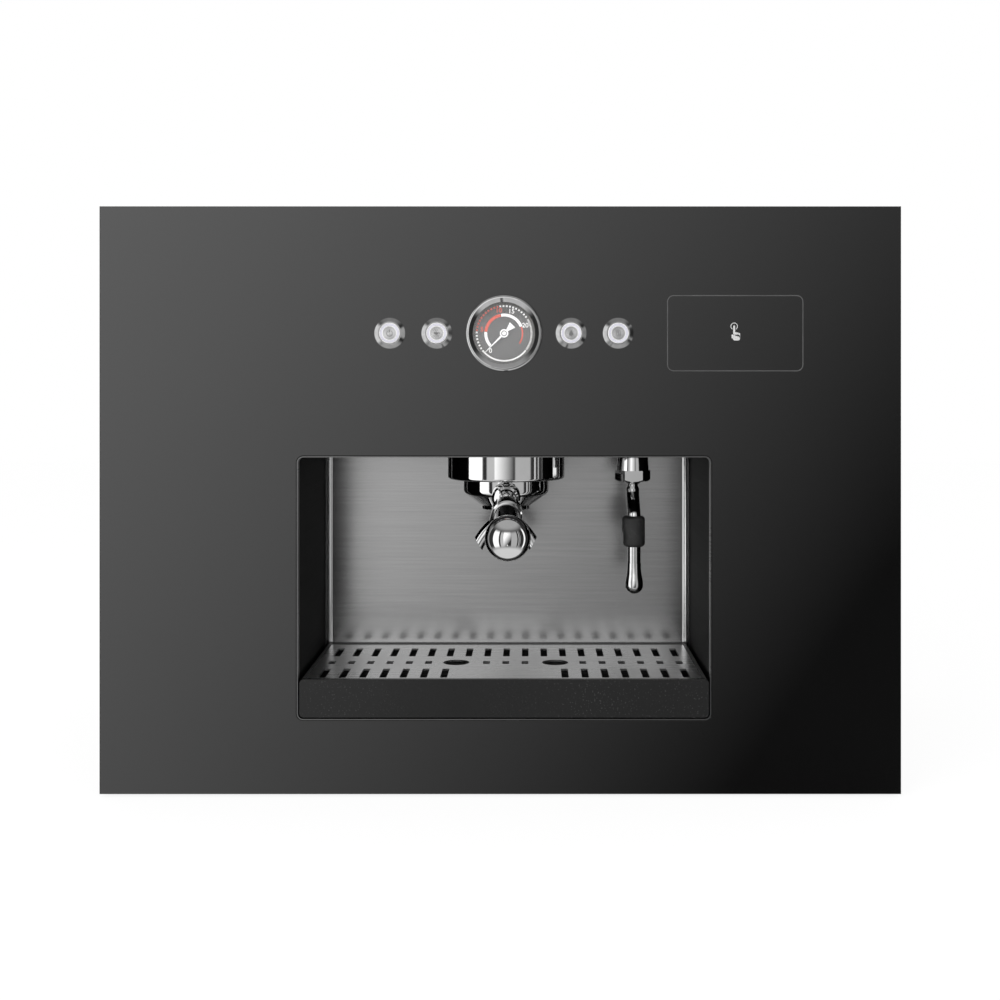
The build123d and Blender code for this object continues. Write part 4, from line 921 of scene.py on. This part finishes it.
def joined(meshes: Iterable[bpy.types.Mesh]) -> bpy.types.Mesh:
    """One mesh of several, its doubles merged and its faces outwards.

    Args:
        meshes: plain meshes, which are used up.

    Returns:
        The new mesh.
    """
    shape = bmesh.new()
    for mesh in meshes:
        shape.from_mesh(mesh)
        bpy.data.meshes.remove(mesh)
    bmesh.ops.remove_doubles(shape, verts=shape.verts, dist=MERGE)
    bmesh.ops.recalc_face_normals(shape, faces=shape.faces)
    whole = bpy.data.meshes.new("whole")
    shape.to_mesh(whole)
    shape.free()
    return whole


def add_piece(name: str, mesh: bpy.types.Mesh, body: str, finish: Finish) -> None:
    """Adds a finished piece to the scene.

    Args:
        name: the piece's name.
        mesh: its mesh, already in place.
        body: the CAD body it rides on.
        finish: its finish.
    """
    piece = bpy.data.objects.new(name, mesh)
    bpy.context.scene.collection.objects.link(piece)
    mesh.name = name
    mesh.materials.clear()
    mesh.materials.append(finish.material())
    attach(piece, body)
    LOG.info("piece %s: %d faces, rides on %s, %s", name, len(mesh.polygons), body, finish.name)


class DashRow:
    """A Geometry Nodes tree that sets dashes of one size along an arc of the dial."""

    INPUTS = (
        ("Geometry", "NodeSocketGeometry"),
        ("Radius", "NodeSocketFloat"),
        ("Start", "NodeSocketFloat"),
        ("End", "NodeSocketFloat"),
        ("Count", "NodeSocketInt"),
        ("Size", "NodeSocketVector"),
        ("Centre", "NodeSocketVector"),
        ("Finish", "NodeSocketMaterial"),
    )

    def __init__(self) -> None:
        """Builds the tree once; every row uses it."""
        self.tree = bpy.data.node_groups.new("Dashes along an arc", "GeometryNodeTree")
        for name, kind in self.INPUTS:
            self.tree.interface.new_socket(name=name, in_out="INPUT", socket_type=kind)
        self.tree.interface.new_socket(
            name="Geometry", in_out="OUTPUT", socket_type="NodeSocketGeometry"
        )
        graph = Graph(self.tree)
        given = graph.node("NodeGroupInput")
        radius, start, end, count, size, centre, finish = (
            Signal(graph, given.outputs[name]) for name, _ in self.INPUTS[1:]
        )
        share = graph.pick("GeometryNodeInputIndex") / (count - 1.0)
        angle = start + (end - start) * share
        across, up = radius * graph.sum("COSINE", angle), radius * graph.sum("SINE", angle)
        spot = graph.vector(across, 0.0, up)
        place = graph.pick("ShaderNodeVectorMath", {"operation": "ADD"}, {0: spot, 1: centre})
        points = graph.pick("GeometryNodePoints", {}, {"Count": count, "Position": place})
        dash = graph.pick("GeometryNodeMeshCube", {}, {"Size": size})
        turn = graph.pick("FunctionNodeEulerToRotation", {}, {0: graph.vector(0.0, -angle, 0.0)})
        sockets = {"Points": points, "Instance": dash, "Rotation": turn}
        row = graph.pick("GeometryNodeInstanceOnPoints", {}, sockets)
        solid = graph.pick("GeometryNodeRealizeInstances", {}, {"Geometry": row})
        painted = graph.pick("GeometryNodeSetMaterial", {}, {"Geometry": solid, "Material": finish})
        graph.node("NodeGroupOutput", {}, {0: painted})

    def mesh(self, finish: Finish, values: Mapping[str, object]) -> bpy.types.Mesh:
        """One row of dashes as a plain mesh.

        Args:
            finish: the finish that the tree sets.
            values: the tree's inputs by name, in metres and radians.

        Returns:
            The row's mesh.
        """
        holder = bpy.data.objects.new("row", bpy.data.meshes.new("row"))
        modifier = holder.modifiers.new("Dashes", "NODES")
        modifier.node_group = self.tree
        items = self.tree.interface.items_tree
        keys = {item.name: item.identifier for item in items if item.in_out == "INPUT"}
        for name, value in {**values, "Finish": finish.material()}.items():
            modifier[keys[name]] = value
        return taken(holder)


# ------------------------------------------------------------------ sub-assemblies


@dataclass
class Assembly:
    """A sub-assembly: the finishes of its CAD nodes, and the pieces that it adds."""

    finishes: dict[str, Finish] = field(default_factory=dict)

    def dress(self) -> None:
        """Gives each CAD node of the sub-assembly its finish."""
        for node, finish in self.finishes.items():
            part = frame["nodes"][node]
            if not part.material_slots:
                part.data.materials.append(None)
            for slot in part.material_slots:
                slot.material = finish.material()
            LOG.info("node %s: %s", node, finish.name)

    def add_pieces(self) -> None:
        """Adds the pieces that the CAD model leaves to the scene; most sub-assemblies have none."""


@dataclass
class GlassFront(Assembly):
    """The black glass, its frame, and what is printed on the glass over the display."""

    finishes: dict[str, Finish] = field(
        default_factory=lambda: {
            "front_glass": BLACK_GLASS,
            "glass_frame": BLACK_ENAMEL,
            "touch_display": DISPLAY_BLACK,
        }
    )
    centre: Point = (0.1758, CONTROLS)
    outline_size: Pair = (0.102, 0.057)
    outline_corner: float = 0.005
    line: float = 0.0007
    ink: float = 0.00006
    # The pointing hand: its fingertip from the display's centre, the arc round the tip, and
    # each part's place from the tip, width, height and corner.
    fingertip: Point = (-0.0008, 0.0052)
    tip_ring: tuple[float, ...] = (0.0022, 0.0027, -60.0, 240.0)
    hand: tuple[tuple[Point, float, float, float], ...] = (
        ((0.0, -0.0028), 0.0014, 0.0068, 0.0006),
        ((0.0017, -0.0084), 0.0052, 0.0044, 0.0014),
        ((0.0014, -0.0058), 0.0012, 0.003, 0.00055),
        ((0.0027, -0.0061), 0.0012, 0.003, 0.00055),
        ((0.0039, -0.0066), 0.0012, 0.003, 0.00055),
        ((-0.0013, -0.0076), 0.0012, 0.003, 0.00055),
    )

    def add_pieces(self) -> None:
        """Adds the display's outline and its pointing hand."""
        low, high = FRONT - self.ink, FRONT + self.ink
        outlines = [
            rounded_box(
                self.centre,
                self.outline_size[0] - 2 * inset,
                self.outline_size[1] - 2 * inset,
                self.outline_corner - inset,
            )
            for inset in (0.0, self.line)
        ]
        add_piece("display_outline", joined([plate(outlines, low, high)]), "machine", DISPLAY_INK)
        x, z = self.centre[0] + self.fingertip[0], self.centre[1] + self.fingertip[1]
        mark = [plate([ring_piece((x, z), *self.tip_ring)], low, high)]
        for (side, rise), width, height, corner in self.hand:
            part = rounded_box((x + side, z + rise), width, height, corner)
            mark.append(plate([part], low, high))
        add_piece("display_mark", joined(mark), "machine", POINTER_INK)


@dataclass
class Gauge(Assembly):
    """The pressure gauge and what is printed on its dial."""

    finishes: dict[str, Finish] = field(
        default_factory=lambda: {
            "gauge_bezel": BEZEL_CHROME,
            "gauge_lens": ClearLens("Clear lens"),
            "gauge_dial": DialFace("Grey dial face", CONTROLS, grey(0.1), grey(0.04)),
            "gauge_needle": DIAL_WHITE,
            "gauge_case": BRASS,
            "gauge_movement": BRASS,
        }
    )
    centre: Point = (0.0028, CONTROLS)
    face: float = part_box("gauge_dial")[0].y
    needle_face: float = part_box("gauge_needle")[0].y
    ink: float = 0.00012
    # How much of the ink's thickness is sunk into the dial.
    sunk: float = 0.1
    dash_radius: float = 0.0206
    dash: Pair = (0.0014, 0.0013)
    fine_dash: Pair = (0.0015, 0.0005)
    band: Pair = (0.0127, 0.0149)
    thin_band: Pair = (0.0133, 0.0143)
    foot_line: Pair = (0.02, 0.0212)
    hub: Pair = (0.0015, 0.0021)
    hub_ink: float = 0.00005
    digit_height: float = 0.0049

    def row(
        self, rows: DashRow, finish: Finish, size: Pair, angles: Pair, count: int
    ) -> bpy.types.Mesh:
        """One row of dashes on the dial.

        Args:
            rows: the tree that makes it.
            finish: its ink.
            size: the dashes' length towards the centre and their width.
            angles: the first and the last angle in degrees.
            count: how many there are.

        Returns:
            The row's mesh.
        """
        middle = self.face - self.ink * (0.5 - self.sunk)
        values = {
            "Radius": self.dash_radius,
            "Start": math.radians(angles[0]),
            "End": math.radians(angles[1]),
            "Count": count,
            "Size": (size[0], self.ink, size[1]),
            "Centre": (self.centre[0], middle, self.centre[1]),
        }
        return rows.mesh(finish, values)

    def printed(self, outline: Sequence[Point]) -> bpy.types.Mesh:
        """A printed shape on the dial, from its outline in metres."""
        return plate([outline], *self.ink_reach())

    def ink_reach(self) -> Pair:
        """The y of the ink's front and rear faces."""
        return self.face - self.ink * (1.0 - self.sunk), self.face + self.ink * self.sunk

    def number(self, text: str, angle: float, radius: float) -> bpy.types.Mesh:
        """A number on the dial.

        Args:
            text: the number.
            angle: its middle's angle in degrees.
            radius: its middle's distance from the dial's centre, in metres.

        Returns:
            The number's mesh.
        """
        turn = math.radians(angle)
        spot = (self.centre[0] + radius * math.cos(turn), self.centre[1] + radius * math.sin(turn))
        return figure(text, self.digit_height, spot, *self.ink_reach())

    def add_pieces(self) -> None:
        """Adds the dial's dashes, arcs and numbers, and the ring on the needle's hub."""
        rows = DashRow()
        white = [
            self.row(rows, DIAL_WHITE, self.dash, (220.0, 178.0), 7),
            self.row(rows, DIAL_WHITE, self.dash, (98.0, 37.0), 10),
            self.row(rows, DIAL_WHITE, self.fine_dash, (30.0, -35.0), 26),
            self.printed(ring_piece(self.centre, *self.foot_line, -138.0, -38.0)),
            self.printed(ring_piece(self.centre, *self.band, 176.0, 222.0)),
            self.printed(ring_piece(self.centre, *self.band, 22.0, 99.5)),
        ]
        red = [
            self.row(rows, DIAL_RED, self.dash, (173.0, 104.0), 11),
            self.printed(ring_piece(self.centre, *self.band, 101.0, 174.5)),
            self.printed(ring_piece(self.centre, *self.thin_band, -33.0, 20.5)),
        ]
        white_numbers = (("0", 232.0, 0.0166), ("15", 71.5, 0.0174), ("20", 20.6, 0.017))
        red_numbers = (("5", 170.0, 0.0169), ("10", 103.0, 0.0176))
        for name, marks, numbers, finish, slot in (
            ("white", white, white_numbers, DIAL_WHITE, "needle_white"),
            ("red", red, red_numbers, DIAL_RED, ""),
        ):
            add_piece(f"dial_scale_{name}", joined(marks), "machine", finish)
            figures = joined([self.number(*number) for number in numbers])
            add_piece(f"dial_numbers_{name}", figures, "machine", finish)
        low, high = self.needle_face - self.hub_ink, self.needle_face + self.hub_ink
        hub = plate([ring_piece(self.centre, *self.hub, 0.0, ROUND)], low, high)
        add_piece("needle_hub_ring", joined([hub]), "needle", ETCHED_MARK)


class Button(Enum):
    """The four buttons, each with its place across the front in metres."""

    POWER = -0.0826
    ESPRESSO = -0.0474
    WATER = 0.053
    STEAM = 0.0882


@dataclass
class PushButtons(Assembly):
    """Four round buttons, each with a light ring and an etched mark."""

    finishes: dict[str, Finish] = field(
        default_factory=lambda: {
            "button_bezels": RING_CHROME,
            "button_switches": SWITCH_PLASTIC,
            **{
                f"{button.name.lower()}_button_cap": Turned(
                    f"Ringed steel of the {button.name.lower()} button",
                    grey(0.7),
                    roughness=0.2,
                    centre=(button.value, CONTROLS),
                )
                for button in Button
            },
        }
    )
    # The light ring lies in a groove of these radii, with a gap on all sides that show.
    groove: Pair = (0.0056, 0.0071)
    groove_depth: float = 0.0007
    glow_gap: float = 0.0001
    ring_line: float = 0.0003
    mark_line: float = 0.0004
    bold_line: float = 0.0005
    line_ink: float = 0.00005
    # How far a mark stands out of the cap and how far it is sunk into it.
    mark_ink: Pair = (0.00006, 0.00004)
    # The steam's three waves: their places, height, swing and bends in radians for each metre.
    waves: Triple = (-0.0014, 0.0, 0.0014)
    wave_height: float = 0.0044
    wave_swing: float = 0.0004
    wave_bends: float = 2600.0

    def mark(self, button: Button) -> list[list[Point]]:
        """The outlines of a button's mark.

        Args:
            button: which button.

        Returns:
            Closed outlines, in metres.
        """
        x, z = button.value, CONTROLS
        if button is Button.POWER:
            return [
                ring_piece((x, z - 0.0002), 0.0019, 0.0023, 125.0, 415.0),
                stroke([(x, z + 0.0006), (x, z + 0.0026)], self.bold_line),
            ]
        if button is Button.ESPRESSO:
            return [
                arc((x - 0.0003, z + 0.0006), 0.0019, 180.0, 360.0),
                ring_piece((x + 0.0018, z), 0.0004, 0.0008, -90.0, 90.0),
                stroke([(x - 0.0025, z - 0.0021), (x + 0.0019, z - 0.0021)], self.mark_line),
            ]
        if button is Button.WATER:
            return [[(x, z + 0.0026)] + arc((x, z - 0.0006), 0.0016, 20.0, -200.0)]
        steps = 12
        low = -self.wave_height / 2
        heights = [low + self.wave_height * i / steps for i in range(steps + 1)]
        swings = [self.wave_swing * math.sin(h * self.wave_bends) for h in heights]
        return [
            stroke([(x + wave + swing, z + h) for swing, h in zip(swings, heights)], self.mark_line)
            for wave in self.waves
        ]

    def add_pieces(self) -> None:
        """Adds each button's light ring, two ring lines and mark, which ride on the button."""
        inner, outer = self.groove
        half = self.ring_line / 2
        for button in Button:
            name = button.name.lower()
            body, centre = f"{name}_button", (button.value, CONTROLS)
            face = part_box(f"{name}_button_cap")[0].y
            edges = [circle(centre, outer - self.glow_gap), circle(centre, inner + self.glow_gap)]
            glow = joined([plate(edges, face + self.glow_gap, face + self.groove_depth)])
            add_piece(f"{name}_light_ring", glow, body, LIGHT_RING)
            rings = []
            for radius in (inner - self.ring_line, outer + self.ring_line):
                edges = [circle(centre, radius + half), circle(centre, radius - half)]
                rings.append(plate(edges, face - self.line_ink, face + self.line_ink))
            add_piece(f"{name}_ring_lines", joined(rings), body, RING_LINE)
            low, high = face - self.mark_ink[0], face + self.mark_ink[1]
            marks = joined([plate([outline], low, high) for outline in self.mark(button)])
            add_piece(f"{name}_mark", marks, body, ETCHED_MARK)


@dataclass
class Niche(Assembly):
    """The lined niche with its tray, grid and fascia."""

    finishes: dict[str, Finish] = field(
        default_factory=lambda: {
            "niche_shell": NicheWall("Niche lining"),
            "niche_back_plate": NICHE_BACK,
            "niche_trim": TRIM_STEEL,
            "tray_bed": NICHE_BACK,
            "drip_grid": GRID_STEEL,
            "drip_tray": TRAY_PLASTIC,
            "tray_fascia": FASCIA_BLACK,
        }
    )


@dataclass
class Group(Assembly):
    """The brewing group with its portafilter."""

    finishes: dict[str, Finish] = field(
        default_factory=lambda: {
            "group_bell": CHROME,
            "group_collar": POLISHED_STEEL,
            "group_gasket": SEAL_RUBBER,
            "group_bracket": SHEET_STEEL,
            "shower_screen": POLISHED_STEEL,
            "screen_screw": POLISHED_STEEL,
            "dispersion_block": BRASS,
            "portafilter_body": CHROME,
            "portafilter_spout": CHROME,
            "portafilter_handle": CHROME,
            "handle_ferrule": CHROME,
            "filter_basket": POLISHED_STEEL,
        }
    )


@dataclass
class SteamWand(Assembly):
    """The steam wand from its fitting to its tip."""

    finishes: dict[str, Finish] = field(
        default_factory=lambda: {
            "wand_fitting": CHROME,
            "wand_nut": CHROME,
            "wand_seat": SEAT_PLASTIC,
            "wand_pipe": POLISHED_STEEL,
            "wand_grip": SEAL_RUBBER,
            "wand_tip": POLISHED_STEEL,
        }
    )


@dataclass
class Housing(Assembly):
    """The sheet housing with its fan, inlet, gland and feet."""

    finishes: dict[str, Finish] = field(
        default_factory=lambda: {
            "base_plate": SHEET_STEEL,
            "left_side_panel": SHEET_STEEL,
            "right_side_panel": SHEET_STEEL,
            "rear_panel": SHEET_STEEL,
            "top_cover": SHEET_STEEL,
            "equipment_deck": SHEET_STEEL,
            "cover_screws": SCREW_STEEL,
            "glide_feet": SEAL_RUBBER,
            "fan_frame": SWITCH_PLASTIC,
            "fan_rotor": SWITCH_PLASTIC,
            "fan_guard": SHEET_STEEL,
            "cable_gland": SWITCH_PLASTIC,
            "water_inlet": BRASS,
        }
    )


@dataclass
class Works(Assembly):
    """Boilers, valves, pump, pipes and board inside the housing."""

    finishes: dict[str, Finish] = field(
        default_factory=lambda: {
            "brew_boiler": BOILER_STEEL,
            "steam_boiler": BOILER_STEEL,
            "solenoid_valves": VALVE_BLACK,
            "water_pump": VALVE_BLACK,
            "water_hoses": HOSE_WHITE,
            "copper_pipes": COPPER,
            "control_board": BoardFinish("Green circuit board"),
        }
    )


# ------------------------------------------------------------------ studio


@dataclass(frozen=True)
class SoftBox:
    """A bright upright strip of the surroundings, which only gloss mirrors.

    Its angles are in degrees from straight behind the camera, growing to the right.
    """

    start: float
    end: float
    edge: float
    strength: float


@dataclass
class Studio:
    """Floor, soft lamps, surroundings and camera. Angles are in degrees."""

    eye: Triple = (0.023, -1.154978, 0.312)
    focal_length: float = 48.5
    sensor_width: float = 36.0
    shift: Pair = (-0.031, -0.12)
    clip: Pair = (0.01, 60.0)
    floor_reach: float = 4.0
    # The floor is a little lower than the feet, so that the two don't lie in one plane.
    floor_drop: float = 0.0003
    sky_level: float = 0.8
    # The window behind the camera: its level straight behind and that far down, what it loses
    # for each degree to the right and gains for each degree upwards, its brightest level, and
    # its left side, right side and softness.
    window_drop: float = 5.0
    window_level: float = 0.6
    window_fall: float = 0.036
    window_rise: float = 0.025
    window_peak: float = 1.6
    window_sides: tuple[float, float, float] = (-20.5, 18.0, 1.5)
    boxes: tuple[SoftBox, ...] = (
        SoftBox(-77.0, -45.0, 2.0, 1.5),
        SoftBox(19.0, 50.0, 2.0, 0.5),
        SoftBox(-36.0, -20.5, 1.5, 0.62),
        SoftBox(58.0, 61.0, 1.0, 0.8),
        SoftBox(66.0, 68.0, 0.8, 0.6),
        SoftBox(89.0, 99.0, 1.0, 1.4),
    )
    box_height: float = 34.0
    box_softness: float = 8.0
    rear_level: float = 0.9
    rear_edge: Pair = (108.0, 122.0)
    ceiling_level: float = 0.42
    ceiling_edge: Pair = (30.0, 60.0)
    ground_level: float = 0.75
    ground_edge: Pair = (-26.0, -50.0)
    lowest_level: float = 0.04

    def floor(self) -> None:
        """A plain pale floor that keeps the shadow and isn't mirrored in the glass."""
        mesh = bpy.data.meshes.new("floor")
        square = ((-1.0, -1.0), (1.0, -1.0), (1.0, 1.0), (-1.0, 1.0))
        points = [(x * self.floor_reach, y * self.floor_reach, -self.floor_drop) for x, y in square]
        mesh.from_pydata(points, [], [(0, 1, 2, 3)])
        floor = bpy.data.objects.new("floor", mesh)
        bpy.context.scene.collection.objects.link(floor)
        floor.visible_glossy = False
        mesh.materials.append(PaleFloor("Pale floor").material())

    def surroundings(self) -> None:
        """A white background, an even sky for light, and soft boxes for gloss to mirror."""
        world = bpy.data.worlds.new("Studio")
        bpy.context.scene.world = world
        world.use_nodes = True
        graph = Graph(world.node_tree)
        x, y, z = graph.parts(graph.pick("ShaderNodeTexCoord", output="Generated"))
        turn = graph.sum("ARCTAN2", x, -y) * math.degrees(1.0)
        rise = graph.sum("ARCSINE", z) * math.degrees(1.0)
        climb = (rise + self.window_drop) * self.window_rise
        level = self.window_level - turn * self.window_fall + climb
        strips = level.clamped(0.0, self.window_peak) * turn.band(*self.window_sides)
        for box in self.boxes:
            strips = strips + turn.band(box.start, box.end, box.edge) * box.strength
        near, far = self.rear_edge
        rear = (turn.step(near, far) + turn.step(-near, -far)).clamped() * self.rear_level
        height = rise.band(-self.box_height, self.box_height, self.box_softness)
        above = rise.step(*self.ceiling_edge) * self.ceiling_level
        below = rise.step(*self.ground_edge) * self.ground_level
        mirrored = (strips + rear) * height + above + below + self.lowest_level
        seen = graph.seen()
        glossy = graph.pick("ShaderNodeLightPath", output="Is Glossy Ray") * (1.0 - seen)
        strength = seen + glossy * mirrored + (1.0 - seen) * (1.0 - glossy) * self.sky_level
        light = graph.pick("ShaderNodeBackground", {}, {"Color": grey(1.0), "Strength": strength})
        graph.node("ShaderNodeOutputWorld", {}, {"Surface": light})

    def lamp(self, name: str, place: Triple, aim: Triple, size: float, power: float) -> None:
        """Adds one soft lamp that gloss doesn't mirror.

        Args:
            name: the lamp's name.
            place: where it is.
            aim: the point it faces.
            size: its width in metres.
            power: its power in watts.
        """
        data = bpy.data.lights.new(name, "AREA")
        data.shape, data.size, data.energy = "DISK", size, power
        lamp = bpy.data.objects.new(name, data)
        bpy.context.scene.collection.objects.link(lamp)
        lamp.location = place
        lamp.rotation_euler = (Vector(aim) - Vector(place)).to_track_quat("-Z", "Y").to_euler()
        lamp.visible_glossy = False
        lamp.visible_camera = False

    def camera(self) -> None:
        """Sets the camera of the photograph."""
        data = bpy.data.cameras.new("Front camera")
        data.lens, data.sensor_width = self.focal_length, self.sensor_width
        data.shift_x, data.shift_y = self.shift
        data.clip_start, data.clip_end = self.clip
        camera = bpy.data.objects.new("Front camera", data)
        bpy.context.scene.collection.objects.link(camera)
        camera.location = self.eye
        camera.rotation_euler = (math.radians(90.0), 0.0, 0.0)
        bpy.context.scene.camera = camera

    def build(self) -> None:
        """Makes the whole studio."""
        bpy.context.scene.view_settings.view_transform = "Standard"
        self.floor()
        self.surroundings()
        self.lamp("Front lamp", (-0.9, -1.7, 1.3), (0.0, 0.0, 0.22), 1.4, 16.0)
        self.lamp("Niche lamp", (0.3, -1.5, 0.5), (0.0, 0.0, 0.17), 1.0, 8.0)
        self.camera()
        LOG.info("studio: floor, two lamps, surroundings and camera")


def main() -> None:
    """Dresses the machine, adds its printed details and light rings, and sets the studio."""
    logging.basicConfig(level=logging.INFO, format="%(message)s")
    known = set(frame["nodes"].values()) | set(frame["bodies"].values())
    for leftover in [thing for thing in bpy.data.objects if thing not in known]:
        bpy.data.objects.remove(leftover)
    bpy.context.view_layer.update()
    machine = (
        GlassFront(), Gauge(), PushButtons(), Niche(), Group(), SteamWand(), Housing(), Works()
    )
    for assembly in machine:
        assembly.dress()
        assembly.add_pieces()
        LOG.info("%s done", type(assembly).__name__)
    Studio().build()


if __name__ == "__main__":
    main()
